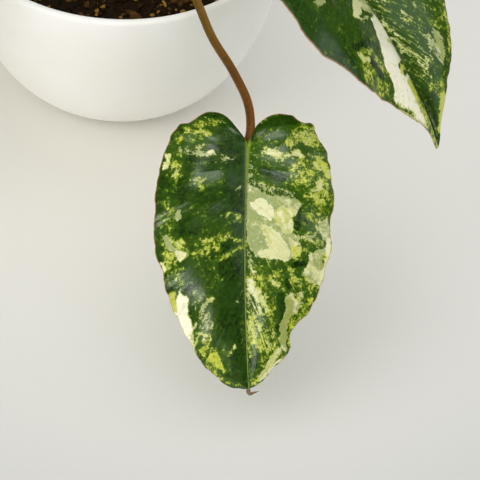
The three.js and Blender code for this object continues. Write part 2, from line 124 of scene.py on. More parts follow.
class Recipe:
    """The node network of a material, a group or the world, and the steps that add to it."""

    def __init__(self, tree):
        self.tree = tree

    def plug(self, socket, value):
        """Gives a socket a value, or links another node's output to it."""
        if isinstance(value, bpy.types.NodeSocket):
            self.tree.links.new(value, socket)
        else:
            socket.default_value = value

    def add(self, kind, sockets, **settings):
        """Adds a node, with its settings and what goes into its sockets, and returns its outputs."""
        node = self.tree.nodes.new("ShaderNode" + kind)
        for name, value in settings.items():
            setattr(node, name, value)
        for name, value in sockets.items():
            self.plug(node.inputs[name], value)
        return node.outputs

    def mix(self, share, first, second):
        """A colour between two others: the first at a share of 0, the second at 1."""
        return self.add("Mix", {0: share, 6: first, 7: second}, data_type="RGBA")[2]

    def sums(self, operation, *values):
        return self.add("Math", dict(enumerate(values)), operation=operation)[0]

    def times(self, value, factor, plus=None):
        """A value times a factor, with a third value added where one is given."""
        if plus is None:
            return self.sums("MULTIPLY", value, factor)
        return self.sums("MULTIPLY_ADD", value, factor, plus)

    def vectors(self, operation, *values):
        return self.add("VectorMath", dict(enumerate(values)), operation=operation)

    def step(self, value, low, high, shape="SMOOTHSTEP"):
        """0 below low, 1 above high, and a step of that shape between them, which may also fall."""
        spread = {"Value": value, "From Min": low, "From Max": high}
        return self.add("MapRange", spread, interpolation_type=shape)[0]

    def noise(self, place, scale, detail):
        return self.add("TexNoise", {"Vector": place, "Scale": scale, "Detail": detail})

    def attribute(self, name, output="Fac"):
        return self.add("Attribute", {}, attribute_name=name)[output]

    def place_in_mm(self):
        """The piece's own coordinates, in millimetres."""
        scaling = {0: self.add("TexCoord", {})["Object"], "Scale": 1 / MM}
        return self.add("VectorMath", scaling, operation="SCALE")[0]

    def use(self, group, **sockets):
        """Places a shared group. In the names of its sockets, _ stands for a space."""
        named = {name.replace("_", " "): value for name, value in sockets.items()}
        return self.add("Group", named, node_tree=group.tree)

    def finish(self, colour, roughness, bump=None, gloss=0.5):
        """Plugs a finish into the shader. A bump is a strength, a depth in mm and a height."""
        shader = self.tree.nodes["Principled BSDF"].inputs
        self.plug(shader["Base Color"], colour)
        self.plug(shader["Roughness"], roughness)
        self.plug(shader["Specular IOR Level"], gloss)
        if bump:
            strength, depth, height = bump
            relief = {"Strength": strength, "Distance": depth * MM, "Height": height}
            self.plug(shader["Normal"], self.add("Bump", relief)["Normal"])


print("steps of a recipe:", [name for name in vars(Recipe) if not name.startswith("_")])

# %% New materials and groups


def new_material(name):
    """An empty material, and the recipe for its network."""
    material = bpy.data.materials.new(name)
    material.use_nodes = True
    return material, Recipe(material.node_tree)


def new_group(name, takes, gives):
    """A shader node group with named sockets: its recipe, what it takes and what it gives."""
    group = bpy.data.node_groups.new(name, "ShaderNodeTree")
    for way, sockets in (("INPUT", takes), ("OUTPUT", gives)):
        for label, kind in sockets.items():
            group.interface.new_socket(label, in_out=way, socket_type="NodeSocket" + kind)
    taken = group.nodes.new("NodeGroupInput").outputs
    return Recipe(group), taken, group.nodes.new("NodeGroupOutput").inputs


print("a finish starts with new_material, a shared effect with new_group")

# %% [markdown]
# ## Light
#
# The photograph was taken in a bright room. The light is so soft that hardly a shadow falls on the
# table, and it comes mostly from the left and from the camera's side, which is why the pot is
# brighter than the table. Only the leaves' gloss tells where the windows are: they mirror one almost
# overhead, one low in front and a wide, dim one on the right, and an unlit room between them.
#
# So the world itself is the main lamp, brighter on the left, the right and in front, and one large
# soft lamp on the left gives it a direction. The Light Path node lets glossy rays see something else
# than diffuse ones: a dim room with those three windows. The lamp is hidden from glossy rays, because
# its reflection would lie over the leaves' dark tissue as a haze.

# %% Soft lamp
AIM = Vector((40, -70, 60)) * MM
LAMP_DISTANCE = 1.8
LAMP_SIZE = 1.5
LAMP_POWER = 12


def toward(azimuth, height):
    """A direction, from an azimuth that runs from +X towards +Y and a height, both in degrees."""
    turn, rise = math.radians(azimuth), math.radians(height)
    return Vector((math.cos(turn) * math.cos(rise), math.sin(turn) * math.cos(rise), math.sin(rise)))


lamp_way = toward(-158, 42)
bpy.ops.object.light_add(type="AREA", location=AIM + lamp_way * LAMP_DISTANCE)
lamp = bpy.context.object
lamp.name = "soft_left"
lamp.data.size = LAMP_SIZE
lamp.data.energy = LAMP_POWER
lamp.data.color = srgb(255, 251, 246)[:3]
lamp.rotation_euler = lamp_way.to_track_quat("Z", "Y").to_euler()
lamp.visible_glossy = False
print("lamp stands at", [round(value, 2) for value in lamp.location])

# %% The room as a lamp
# azimuth, height, angles from there at which it ends and is full, and brightness
LEFT_SIDE = (-135, 25, 105, 20, 0.56)
RIGHT_SIDE = (35, 40, 80, 20, 0.42)
FRONT_SIDE = (-70, 15, 60, 10, 0.16)
WINDOW_OVERHEAD = (-66, 82, 12, 4.8, 6.0)
WINDOW_IN_FRONT = (-99, 28, 8, 3.2, 13.0)
WINDOW_ON_THE_RIGHT = (-2, 38, 29, 11.6, 1.0)
ROOM_LIGHT = 0.6
UNLIT_ROOM = 0.02

world = bpy.data.worlds.new("pale room")
bpy.context.scene.world = world
world.use_nodes = True
room = Recipe(world.node_tree)
seen_way = room.add("TexCoord", {})["Generated"]


def share_of(azimuth, height, end, full):
    """1 round one direction of the room, falling to 0 at the angle where the bright part ends."""
    facing = room.vectors("DOT_PRODUCT", seen_way, toward(azimuth, height))["Value"]
    return room.step(facing, math.cos(math.radians(end)), math.cos(math.radians(full)))


def add_light(light, *bright_parts):
    for *place, brightness in bright_parts:
        light = room.times(share_of(*place), brightness, plus=light)
    return light


diffuse_light = add_light(ROOM_LIGHT, LEFT_SIDE, RIGHT_SIDE, FRONT_SIDE)
mirrored_light = add_light(UNLIT_ROOM, WINDOW_OVERHEAD, WINDOW_IN_FRONT, WINDOW_ON_THE_RIGHT)
is_glossy = room.add("LightPath", {})["Is Glossy Ray"]
difference = room.sums("SUBTRACT", mirrored_light, diffuse_light)
background = world.node_tree.nodes["Background"].inputs
room.plug(background["Strength"], room.times(difference, is_glossy, plus=diffuse_light))
room_colour = room.mix(share_of(*LEFT_SIDE[:4]), srgb(246, 249, 255), srgb(255, 253, 247))
room.plug(background["Color"], room_colour)
bpy.context.scene.view_settings.view_transform = "Standard"
print("nodes in the room:", len(world.node_tree.nodes))

# %% [markdown]
# ## Uneven surface: an effect that several finishes share
#
# Glaze, potting mix, bark and skin are never one flat colour. One node group gives two masks, a broad
# one and a fine one, at sizes stated in millimetres, and a height for a Bump node. It is built once
# and then placed in each material with its own sizes.

# %% Build the shared group
uneven, taken, given = new_group(
    "uneven surface",
    {"Place": "Vector", "Broad size": "Float", "Fine size": "Float"},
    {"Broad": "Float", "Fine": "Float", "Height": "Float"},
)
heights = []
for label, detail in (("Broad", 3.0), ("Fine", 4.0)):
    scale = uneven.sums("DIVIDE", 1.0, taken[label + " size"])
    heights.append(uneven.noise(taken["Place"], scale, detail)["Fac"])
    uneven.plug(given[label], uneven.step(heights[-1], 0.35, 0.65))
uneven.plug(given["Height"], uneven.times(heights[1], 0.4, plus=heights[0]))


def uneven_skin(recipe, broad_size, fine_size):
    """The shared group, laid out on the piece's own coordinates."""
    return recipe.use(uneven, Place=recipe.place_in_mm(), Broad_size=broad_size, Fine_size=fine_size)


print("group:", uneven.tree.name)

# %% [markdown]
# ## Floor
#
# The plant stands on a plain pale table that reaches past every edge of the picture. It is only a
# stage, so it is one large plane with a matt finish. Its colour is painted light: pale and warm near
# the pot, darker and neutral further out, as the room's light falls, which also lifts the shade that
# the plant casts on the table.

# %% Lay the floor
FLOOR_SIZE = 8
UNDER_POT = (40, 0, 0)  # mm
PAINTED_LIGHT_REACH = 40  # mm from there
FADE_REACH = 235

bpy.ops.mesh.primitive_plane_add(size=FLOOR_SIZE)
floor = bpy.context.object
floor.name = "table_top"
floor_finish, recipe = new_material("pale table")
# Painted light: the table's colour is palest and warmest near the pot and darkens with the distance.
pot_distance = recipe.vectors("DISTANCE", recipe.place_in_mm(), UNDER_POT)["Value"]
painted_light_falloff = recipe.step(pot_distance, PAINTED_LIGHT_REACH, FADE_REACH, shape="LINEAR")
recipe.finish(recipe.mix(painted_light_falloff, srgb(240, 237, 230), srgb(197, 197, 193)), 0.75, gloss=0.2)
floor.data.materials.append(floor_finish)
print("floor is", FLOOR_SIZE, "m wide")

# %% [markdown]
# ## Helpers for modelling
#
# Two operators start most pieces. A line of points becomes a chain of edges, which the Spin operator
# turns into a pot. The same line with a round bevel becomes a tube for a stem or a stalk. Both start
# as curve primitives and are converted to a mesh, so the points are listed or come from a formula. The
# leaves start as flat grids, which formulas wrap into shape and Solidify gives a thickness.

# %% Select, edit and finish


def select_only(*pieces):
    """Selects these pieces and nothing else, and makes the first of them the active one."""
    bpy.ops.object.select_all(action="DESELECT")
    for piece in reversed(pieces):
        piece.select_set(True)
        bpy.context.view_layer.objects.active = piece


@contextmanager
def edit_mode(piece):
    """What stands in the with block runs in edit mode, on the whole mesh of the piece."""
    select_only(piece)
    bpy.ops.object.mode_set(mode="EDIT")
    bpy.ops.mesh.select_all(action="SELECT")
    yield
    bpy.ops.object.mode_set(mode="OBJECT")


def tidy_mesh(piece, distance):
    """Merges doubled points and turns all faces outwards."""
    with edit_mode(piece):
        bpy.ops.mesh.remove_doubles(threshold=distance)
        bpy.ops.mesh.normals_make_consistent(inside=False)


def smooth_sides(piece, sharp_angle):
    """Shades a piece smooth, apart from edges that turn more than the angle."""
    select_only(piece)
    bpy.ops.object.shade_smooth_by_angle(angle=math.radians(sharp_angle))


def join_pieces(*pieces):
    """Joins some pieces into the first of them."""
    select_only(*pieces)
    bpy.ops.object.join()
    return pieces[0]


def give_thickness(sheet, thickness, offset=-1):
    """Turns a sheet into a closed body. At an offset of -1 it grows away from its normals."""
    select_only(sheet)
    solidify = sheet.modifiers.new("skins", "SOLIDIFY")
    solidify.thickness = thickness
    solidify.offset = offset
    bpy.ops.object.modifier_apply(modifier="skins")


print("editing helpers ready")

# %% Read and write what a mesh holds


def read_vectors(items, field):
    values = np.zeros(len(items) * 3)
    items.foreach_get(field, values)
    return values.reshape(-1, 3)


def read_points(piece):
    return read_vectors(piece.data.vertices, "co")


def read_normals(piece):
    return read_vectors(piece.data.vertex_normals, "vector")


def write_points(piece, places):
    piece.data.vertices.foreach_set("co", np.asarray(places, float).ravel())
    piece.data.update()


def read_attribute(piece, name):
    values = np.zeros(len(piece.data.vertices))
    piece.data.attributes[name].data.foreach_get("value", values)
    return values


def write_attribute(piece, name, values):
    """Stores one number, or one vector, at every point of a piece."""
    values = np.asarray(values, float)
    kind, field = ("FLOAT", "value") if values.ndim == 1 else ("FLOAT_VECTOR", "vector")
    layer = piece.data.attributes.new(name, kind, "POINT")
    layer.data.foreach_set(field, values.ravel())


print("mesh helpers ready")

# %% Smooth lines


def smooth_piece(here, there, leave, arrive, t):
    """The cubic line between two places, from the ways in which it leaves one and reaches the other."""
    square = -3 * here + 3 * there - 2 * leave - arrive
    cube = 2 * here - 2 * there + leave + arrive
    return here + leave * t + square * t**2 + cube * t**3


def space_evenly(line, count):
    """The same line, as places that stand at equal distances along it."""
    gone = np.r_[0, np.cumsum(np.linalg.norm(np.diff(line, axis=0), axis=1))]
    wanted = np.linspace(0, gone[-1], count)
    return np.stack([np.interp(wanted, gone, line[:, k]) for k in range(line.shape[1])], axis=1)


def curve_through(points, count):
    """Even places along a smooth curve that passes through the points, which may stand unevenly."""
    points = np.array(points, float)
    ends = (2 * points[0] - points[1], 2 * points[-1] - points[-2])
    points = np.vstack([ends[0], points, ends[1]])
    steps = np.sqrt(np.linalg.norm(np.diff(points, axis=0), axis=1))
    t = np.linspace(0, 1, 60)[:, None]
    pieces = []
    for i in range(1, len(points) - 2):
        before, here, there, after = points[i - 1 : i + 3]
        a, b, c = steps[i - 1 : i + 2]
        leave = b * ((here - before) / a - (there - before) / (a + b) + (there - here) / b)
        arrive = b * ((there - here) / b - (after - here) / (b + c) + (after - there) / c)
        pieces.append(smooth_piece(here, there, leave, arrive, t))
    return space_evenly(np.vstack(pieces), count)


print("middle of a bow through three points:", curve_through([(0, 0), (1, 1), (2, 0)], 9)[4])

# %% Lines and tubes as meshes


def start_curve(name, points, radii=None):
    """A curve primitive whose one line runs straight from point to point."""
    select_only()
    bpy.ops.curve.primitive_bezier_curve_add()
    curve = bpy.context.object
    curve.name = name
    curve.data.splines.clear()
    line = curve.data.splines.new("POLY")
    line.points.add(len(points) - 1)
    line.points.foreach_set("co", np.c_[np.array(points), np.ones(len(points))].ravel())
    if radii is not None:
        line.points.foreach_set("radius", radii)
    return curve


def draw_line(name, points):
    """A chain of edges through the points."""
    curve = start_curve(name, points)
    bpy.ops.object.convert(target="MESH")
    return curve


def draw_tube(name, line, radii, roundness):
    """A closed tube along a line in millimetres, with its own radius at each of its points."""
    curve = start_curve(name, line * MM, radii * MM)
    curve.data.bevel_depth = 1.0
    curve.data.bevel_resolution = roundness
    curve.data.use_fill_caps = True
    bpy.ops.object.convert(target="MESH")
    tidy_mesh(curve, 1e-6)
    return curve


def mark_along(piece, line):
    """Stores how far along the line in millimetres each point lies, from 0 to 1."""
    line = space_evenly(line * MM, 80)
    gaps = np.linalg.norm(read_points(piece)[:, None, :] - line[None], axis=2)
    write_attribute(piece, "along", gaps.argmin(axis=1) / (len(line) - 1))


print("line helpers ready")

# %% [markdown]
# ## Pot
#
# The pot is thrown or cast in one piece: a bowl whose wall rises ever more steeply to an upright rim,
# with a thin, softly rounded lip, under a smooth white glaze. Its outline is drawn once, from the foot
# up the outside, over the lip and down the inside, and spun round the axis. The foot gets what such
# pots have underneath, a bare clay ring round a shallow hollow.

# %% Draw and spin the bowl
POT_RADIUS = 70 * MM
POT_HEIGHT = 82 * MM
FOOT_RADIUS = 36 * MM
BOWL_POWER = 1.95  # 2 would make the wall a quarter of an ellipse
LIP_WIDTH = 3.6 * MM
LIP_ROUNDING = LIP_WIDTH / 2 * 0.75
LIP_START = 0.975  # share of the height at which the wall ends and the lip begins
FOOT_WALL = 3 * MM
FLOOR_THICKNESS = 5 * MM
FOOT_RING = 5 * MM
FOOT_HOLLOW = 1.2 * MM
WALL_STEPS = 36
WALL_CROWDING = 1.7  # the steps crowd towards the foot, where the wall bends most
POT_STEPS = 120


def bowl_radius(foot, rim, share):
    share = np.clip(share, 0, 1)
    return foot + (rim - foot) * (1 - (1 - share) ** BOWL_POWER) ** (1 / BOWL_POWER)


def inner_radius(z):
    share = (z - FLOOR_THICKNESS) / (POT_HEIGHT - FLOOR_THICKNESS)
    return bowl_radius(FOOT_RADIUS - FOOT_WALL, POT_RADIUS - LIP_WIDTH, share)


def pot_outline():
    ring = FOOT_RADIUS - FOOT_RING
    hollow = [(0, FOOT_HOLLOW), (ring - 1.5 * MM, FOOT_HOLLOW), (ring, 0.3 * MM)]
    foot = [(ring + 0.6 * MM, 0), (FOOT_RADIUS - 0.8 * MM, 0)]
    climb = np.linspace(0, 1, WALL_STEPS) ** WALL_CROWDING
    shares = climb * LIP_START + 0.004
    outside = [(bowl_radius(FOOT_RADIUS, POT_RADIUS, s), s * POT_HEIGHT) for s in shares]
    half_lip = LIP_WIDTH / 2
    lip = []
    for turn in np.linspace(0, math.pi, 11)[1:-1]:
        out = POT_RADIUS - half_lip + half_lip * math.cos(turn)
        lip.append((out, POT_HEIGHT - LIP_ROUNDING + LIP_ROUNDING * math.sin(turn)))
    depths = FLOOR_THICKNESS + (POT_HEIGHT * LIP_START - FLOOR_THICKNESS) * climb[::-1]
    inside = [(inner_radius(z), z) for z in depths]
    return [*hollow, *foot, *outside, *lip, *inside, (0, FLOOR_THICKNESS)]


def spin_round(name, outline, steps):
    """Spins an outline of (radius, height) round the upright axis."""
    piece = draw_line(name, [(r, 0, z) for r, z in outline])
    with edit_mode(piece):
        bpy.ops.mesh.spin(steps=steps, angle=FULL_TURN, center=(0, 0, 0), axis=(0, 0, 1))
    tidy_mesh(piece, 0.005 * MM)
    return piece


pot = spin_round("pot_glazed", pot_outline(), POT_STEPS)
smooth_sides(pot, 50)
print("pot is", [round(side / MM, 1) for side in pot.dimensions], "mm")

# %% [markdown]
# The glaze is a satin white: broad, soft reflections, a few square centimetres that are a touch
# creamier than the rest, and a surface that is almost, but not quite, flat. The ring that the pot
# stands on is wiped bare before firing, so it shows the sandy clay.

# %% Glaze and bare clay
BARE_HEIGHT = 0.25 * MM  # the foot is bare up to here

glaze, recipe = new_material("white satin glaze")
spots = uneven_skin(recipe, 38.0, 2.2)
glaze_colour = recipe.mix(spots["Broad"], srgb(250, 249, 246), srgb(247, 245, 240))
recipe.finish(glaze_colour, recipe.times(spots["Fine"], 0.06, plus=0.42), (0.25, 0.05, spots["Height"]))

clay, recipe = new_material("bare clay")
sand = uneven_skin(recipe, 6.0, 0.5)
clay_colour = recipe.mix(sand["Fine"], srgb(214, 204, 186), srgb(190, 178, 158))
recipe.finish(clay_colour, 0.9, (0.5, 0.1, sand["Height"]))

pot.data.materials.append(glaze)
pot.data.materials.append(clay)
for face in pot.data.polygons:
    if face.center.z < BARE_HEIGHT:
        face.material_index = 1
print("bare faces:", sum(face.material_index for face in pot.data.polygons))

# %% [markdown]
# ## Potting mix
#
# The pot is filled to a finger's width under its lip with a dark mix of peat, bark and grit. Its body
# is spun like the pot, a little narrower than the inside. Its top then rolls up and down by a formula
# and gets crumbs from fractal noise. Loose grains and bark chips are modelled once each and scattered
# by the hundred, so each one has only a few faces.

# %% The body of the mix
SOIL_TOP = 72 * MM
SOIL_GAP = 0.56 * MM
SOIL_SHOULDER = 4 * MM  # where its straight side ends, under the top
SOIL_STEPS = 200
SOIL_RINGS = 70
CRUMBS = [(5 * MM, 0.9 * MM), (1.9 * MM, 0.8 * MM), (0.9 * MM, 0.4 * MM)]  # size and height
CALM_EDGE = 12  # the crumbs are lower in the outer twelfth


def soil_height(x, y):
    """The height of the mix, in metres, over a place given in metres."""
    x, y = np.asarray(x) / MM, np.asarray(y) / MM
    rolls = np.sin(0.31 * x + 1) * np.cos(0.27 * y) + 0.6 * np.sin(0.13 * x + 0.45 * y)
    return (SOIL_TOP / MM + 1.1 * rolls - 0.0007 * (x * x + y * y)) * MM


def crumb_height(places):
    """Fractal noise for many places at once, in metres."""
    result = np.zeros(len(places))
    for size, height in CRUMBS:
        result += height * np.array([noise.noise(Vector(place / size)) for place in places])
    return result


soil_depth = SOIL_TOP - SOIL_SHOULDER - FLOOR_THICKNESS
soil_depths = FLOOR_THICKNESS + 0.4 * MM + soil_depth * np.linspace(0, 1, 10) ** WALL_CROWDING
soil_edge = inner_radius(SOIL_TOP - 3 * MM) - SOIL_GAP
soil_sides = [(inner_radius(z) - SOIL_GAP, z) for z in soil_depths]
soil_rings = [(r, SOIL_TOP) for r in np.linspace(soil_edge, 0, SOIL_RINGS)]
soil = spin_round("soil_mix", [(0, soil_depths[0]), *soil_sides, *soil_rings], SOIL_STEPS)
places = read_points(soil)
on_top = places[:, 2] > SOIL_TOP - 0.5 * MM
top = places[on_top]
lift = crumb_height(top)
edge_share = np.clip(np.linalg.norm(top[:, :2], axis=1) / soil_edge, 0, 1)
top[:, 2] = soil_height(top[:, 0], top[:, 1]) + lift * np.clip((1 - edge_share) * CALM_EDGE, 0.3, 1)
places[on_top] = top
write_points(soil, places)
write_attribute(soil, "tone", 0.18 + 0.12 * np.sin(places[:, 0] * 900) * np.sin(places[:, 1] * 1100))
smooth_sides(soil, 180)
print("soil body has", len(soil.data.polygons), "faces")

# %% Pebbles and how they are scattered


def pebble(subdivisions, roughness):
    """One lump with a broken surface, one unit in radius, as the pattern for all its copies."""
    select_only()
    bpy.ops.mesh.primitive_ico_sphere_add(subdivisions=subdivisions, radius=1)
    lump = bpy.context.object
    shape = read_points(lump)
    bumps = np.array([noise.noise(Vector(p * 1.7) + Vector((3, 1, 4))) for p in shape])
    write_points(lump, shape * (1 + roughness * bumps)[:, None])
    return lump


def turned(count, rng):
    """Random turns, as a stack of matrices."""
    frames = np.linalg.qr(rng.normal(size=(count, 3, 3)))[0]
    frames[:, :, 0] *= np.sign(np.linalg.det(frames))[:, None]
    return frames


def scatter(name, pattern, centres, sizes, frames, tones):
    """One mesh that holds a copy of the pattern at every centre."""
    shape = read_points(pattern)
    corners = np.array([list(face.vertices) for face in pattern.data.polygons])
    copies = np.einsum("nij,nj,pj->npi", frames, sizes, shape) + centres[:, None, :]
    faces = (corners[None] + (np.arange(len(centres)) * len(shape))[:, None, None]).reshape(-1, 3)
    mesh = bpy.data.meshes.new(name)
    mesh.from_pydata(copies.reshape(-1, 3), [], faces.tolist())
    piece = bpy.data.objects.new(name, mesh)
    bpy.context.scene.collection.objects.link(piece)
    write_attribute(piece, "tone", np.repeat(tones, len(shape)))
    bpy.data.objects.remove(pattern)
    return piece


def over_soil(count, rng, reach):
    """Random places over the mix, evenly spread over its area."""
    radius = reach * np.sqrt(rng.uniform(size=count))
    angle = rng.uniform(0, FULL_TURN, size=count)
    return radius * np.cos(angle), radius * np.sin(angle)


print("pebble helpers ready")

# %% Grains and chips
GRAINS = 2600
CHIPS = 120
CHIP_FORM = np.array([1, 0.55, 0.3])  # length, width and thickness
BIG_CHIP_FORM = np.array([1, 0.55, 0.42])
# x, y and size in millimetres, and turn in degrees
BIG_CHIPS = np.array([
    (30, -38, 5.5, 20), (44, -12, 4.2, 75), (12, -50, 4.6, 140), (-20, -42, 5.2, 60),
    (-44, -20, 4.4, 110), (22, -18, 3.8, 160), (-48, 14, 5, 30), (-8, -22, 4, 95),
    (38, 22, 5.4, 130), (10, 46, 4.6, 10), (-10, 52, 4.2, 70), (26, 2, 3.6, 45), (-30, -4, 3.8, 150),
])

rng = np.random.default_rng(11)
x, y = over_soil(GRAINS, rng, soil_edge - 1.2 * MM)
grain_size = rng.uniform(0.45, 1.2, GRAINS) ** 1.3 * MM
centres = np.stack([x, y, soil_height(x, y) + grain_size * rng.uniform(0.0, 0.6, GRAINS)], axis=1)
sizes = grain_size[:, None] * rng.uniform(0.6, 1.2, (GRAINS, 3))
tones = rng.uniform(0, 1, GRAINS) ** 2
grains = scatter("grains", pebble(1, 0.5), centres, sizes, turned(GRAINS, rng), tones)

x, y = over_soil(CHIPS, rng, soil_edge - 3.5 * MM)
chip_size = rng.uniform(1.2, 2.4, CHIPS) * MM
centres = np.stack([x, y, soil_height(x, y) + chip_size * 0.15], axis=1)
sizes = chip_size[:, None] * CHIP_FORM * rng.uniform(0.8, 1.2, (CHIPS, 3))
flat_turns = turned(CHIPS, rng)
for i, angle in enumerate(rng.uniform(0, FULL_TURN, CHIPS)):
    tilt = Matrix.Rotation(rng.uniform(-0.5, 0.5), 3, "X") @ Matrix.Rotation(rng.uniform(-0.4, 0.4), 3, "Y")
    flat_turns[i] = np.array(Matrix.Rotation(angle, 3, "Z") @ tilt)
chips = scatter("chips", pebble(2, 0.35), centres, sizes, flat_turns, rng.uniform(0.2, 1, CHIPS))

x, y, big_size = BIG_CHIPS[:, :3].T * MM
centres = np.c_[x, y, soil_height(x, y) - big_size * 0.05]
sizes = big_size[:, None] * BIG_CHIP_FORM
lean = Matrix.Rotation(0.3, 3, "X")
frames = np.array([Matrix.Rotation(math.radians(angle), 3, "Z") @ lean for angle in BIG_CHIPS[:, 3]])
big_tones = np.full(len(BIG_CHIPS), 0.45)
big_chips = scatter("big_chips", pebble(3, 0.3), centres, sizes, frames, big_tones)

soil = join_pieces(soil, grains, chips, big_chips)
print("soil with its grains has", len(soil.data.polygons), "faces")

# %% [markdown]
# Each grain carries its own tone, stored at its points when it was scattered. The finish turns that
# number into wet peat, brown bark or the orange-brown of fresh bark, and noise breaks each colour up.

# %% Peat and bark colours
mix_finish, recipe = new_material("peat and bark")
tone = recipe.attribute("tone")
grit = uneven_skin(recipe, 3.5, 0.45)
peat = recipe.mix(grit["Fine"], srgb(18, 11, 4), srgb(44, 29, 11))
bark_colour = recipe.mix(grit["Broad"], srgb(72, 48, 16), srgb(106, 74, 28))
fresh = recipe.mix(recipe.step(tone, 0.62, 0.95), bark_colour, srgb(150, 110, 48))
colour = recipe.mix(recipe.step(tone, 0.22, 0.6), peat, fresh)
recipe.finish(colour, 0.88, (0.8, 0.3, grit["Height"]), gloss=0.15)
soil.data.materials.append(mix_finish)
print("finish:", mix_finish.name)

# %% [markdown]
# ## Stems
#
# The vine has two short stems. Each is a tube that tapers upwards and swells at its nodes, where the
# leaves' stalks spring out. Short aerial roots leave it just below a node and bend down to the soil.
# Tubes drawn through points do this well, and the roots are joined to their stem.

# %% Draw the stems and their roots
STEM_RADIUS = 3.4
STEM_TAPER = 0.28
NODE_SWELLING = 0.8
NODE_WIDTH = 0.022
ROOT_RADIUS = 1.1
ROOT_SETBACK = 0.03  # how far under its node it starts, as a share of the stem's length
ROOT_ELBOW = (0.85, 0.15)  # where it bends, as shares of its reach and of its drop
ROOT_TAPER = 0.45
ROOT_END = 0.35  # how much thinner its last ring is
ROOT_STEPS = 16
STEM_STEPS = 220
# places in mm, nodes as shares of the length, roots as node, heading in degrees, reach and drop in mm
STEMS = {
    "stem_tall": {
        "path": [(-4, 7, 44), (-4, 7, 74), (0, 1, 96), (3, -3, 122), (0, 2, 150), (-4, 4, 172)],
        "nodes": [0.36, 0.47, 0.6, 0.76, 0.9],
        "roots": [(0.36, 200, 13, 8), (0.47, 20, 15, 16)],
    },
    "stem_short": {
        "path": [(-24, 24, 44), (-24, 24, 74), (-30, 27, 96), (-33, 33, 122), (-31, 36, 136)],
        "nodes": [0.42, 0.53, 0.66, 0.84],
        "roots": [(0.5, 255, 12, 7)],
    },
}


def stem_radius(stem, t):
    swellings = sum(NODE_SWELLING * np.exp(-(((t - node) / NODE_WIDTH) ** 2)) for node in stem["nodes"])
    return STEM_RADIUS * (1 - STEM_TAPER * t) + swellings


def aerial_root(line, node, heading, reach, drop):
    """A root that leaves the stem level and then turns down, thinner towards its end."""
    start = line[int((node - ROOT_SETBACK) * (len(line) - 1))]
    out = np.array([math.cos(math.radians(heading)), math.sin(math.radians(heading)), 0])
    elbow = start + out * reach * ROOT_ELBOW[0] - np.array([0, 0, drop * ROOT_ELBOW[1]])
    end = start + out * reach - np.array([0, 0, drop])
    t = np.linspace(0, 1, ROOT_STEPS)[:, None]
    route = (1 - t) ** 2 * start + 2 * t * (1 - t) * elbow + t**2 * end
    radii = ROOT_RADIUS * (1 - ROOT_TAPER * t[:, 0])
    radii[-1] *= ROOT_END
    root = draw_tube("root", route, radii, 3)
    write_attribute(root, "along", np.full(len(root.data.vertices), -1.0))
    return root


for name, stem in STEMS.items():
    line = curve_through(stem["path"], STEM_STEPS)
    body = draw_tube(name + "_skin", line, stem_radius(stem, np.linspace(0, 1, STEM_STEPS)), 7)
    mark_along(body, line)
    body = join_pieces(body, *[aerial_root(line, *root) for root in stem["roots"]])
    smooth_sides(body, 50)
    stem |= {"line": line, "piece": body}
    print(name, "reaches", round(body.dimensions.z / MM), "mm")

# %% [markdown]
# The skin of a young stem is olive green. It turns to corky brown towards the soil and on the roots,
# with a paler scar at every node and fine streaks that follow the stem.

# %% Stem skin
stem_finish, recipe = new_material("vine skin")
cork = uneven_skin(recipe, 4.0, 0.6)
green_skin = recipe.mix(cork["Broad"], srgb(96, 112, 44), srgb(122, 124, 58))
brown_skin = recipe.mix(cork["Fine"], srgb(92, 66, 36), srgb(138, 104, 62))
age = recipe.times(cork["Broad"], 0.25, plus=recipe.attribute("along"))
colour = recipe.mix(recipe.step(age, 0.35, 0.75), brown_skin, green_skin)
recipe.finish(colour, 0.6, (0.6, 0.2, cork["Height"]))
for stem in STEMS.values():
    stem["piece"].data.materials.append(stem_finish)
print("finish:", stem_finish.name)

# %% [markdown]
# ## The shape of a leaf
#
# A blade is a heart: two round lobes, a deep notch where the stalk meets it, and a drawn-out tip. It
# curls downwards along its midrib, its halves rise from the midrib and arch over, and its margin
# waves. One grid can be wrapped into that shape. Across the grid runs the way from one margin over the
# midrib to the other, and along it run the lateral veins, each from its place on the midrib to its
# place on the margin. That is why markings and relief can later follow the veins.
#
# The outline of each half runs from the notch to the tip. A place on it is written as two numbers,
# how far out from the midrib and how far down along it, in thousandths of the leaf's length. Those of
# the front and the right leaf were measured in the photograph, at about even steps along the margin
# as far as it is in view. The leaves outside the photograph share one plain, even heart.

# %% Outlines


def read_places(text):
    """Places from text such as "0,4 2.5,-3"."""
    return [tuple(float(number) for number in pair.split(",")) for pair in text.split()]


def read_outline(text):
    """An outline as shares of the leaf's length."""
    return [(out / 1000, down / 1000) for out, down in read_places(text)]


EVEN_HALF = read_outline("""
0,0 50,-60 120,-120 210,-130 290,-90 345,0 370,120 375,250 360,380 320,510 250,650 165,780 85,880
38,940 14,980 0,1000
""")
FRONT_LEFT_HALF = read_outline("""
0,0 42,-62 94,-120 146,-136 188,-122 214,-102 240,-86 264,-81 277,-75 288,-60 309,-33 319,-2 333,30
343,62 351,100 351,124 359,154 360,186 367,217 364,250 361,282 365,315 365,345 362,377 357,410
359,442 354,472 338,500 325,530 323,562 318,594 305,625 297,657 287,688 271,716 262,745 246,773
229,802 214,830 203,860 187,887 168,913 143,934 120,954 99,978 70,994 34,1000 0,1000
""")
FRONT_RIGHT_HALF = read_outline("""
0,0 31,-62 57,-93 93,-117 130,-125 165,-121 186,-117 208,-98 234,-85 256,-86 270,-77 278,-50 292,-21
311,6 327,34 330,66 340,95 341,126 343,159 352,189 358,219 359,250 356,280 347,311 348,341 349,372
352,403 349,436 340,467 329,495 323,526 318,557 305,586 298,617 285,644 268,670 248,696 222,713
202,739 186,767 175,796 179,829 167,856 146,880 123,902 99,921 81,947 56,967 32,986 0,1000
""")
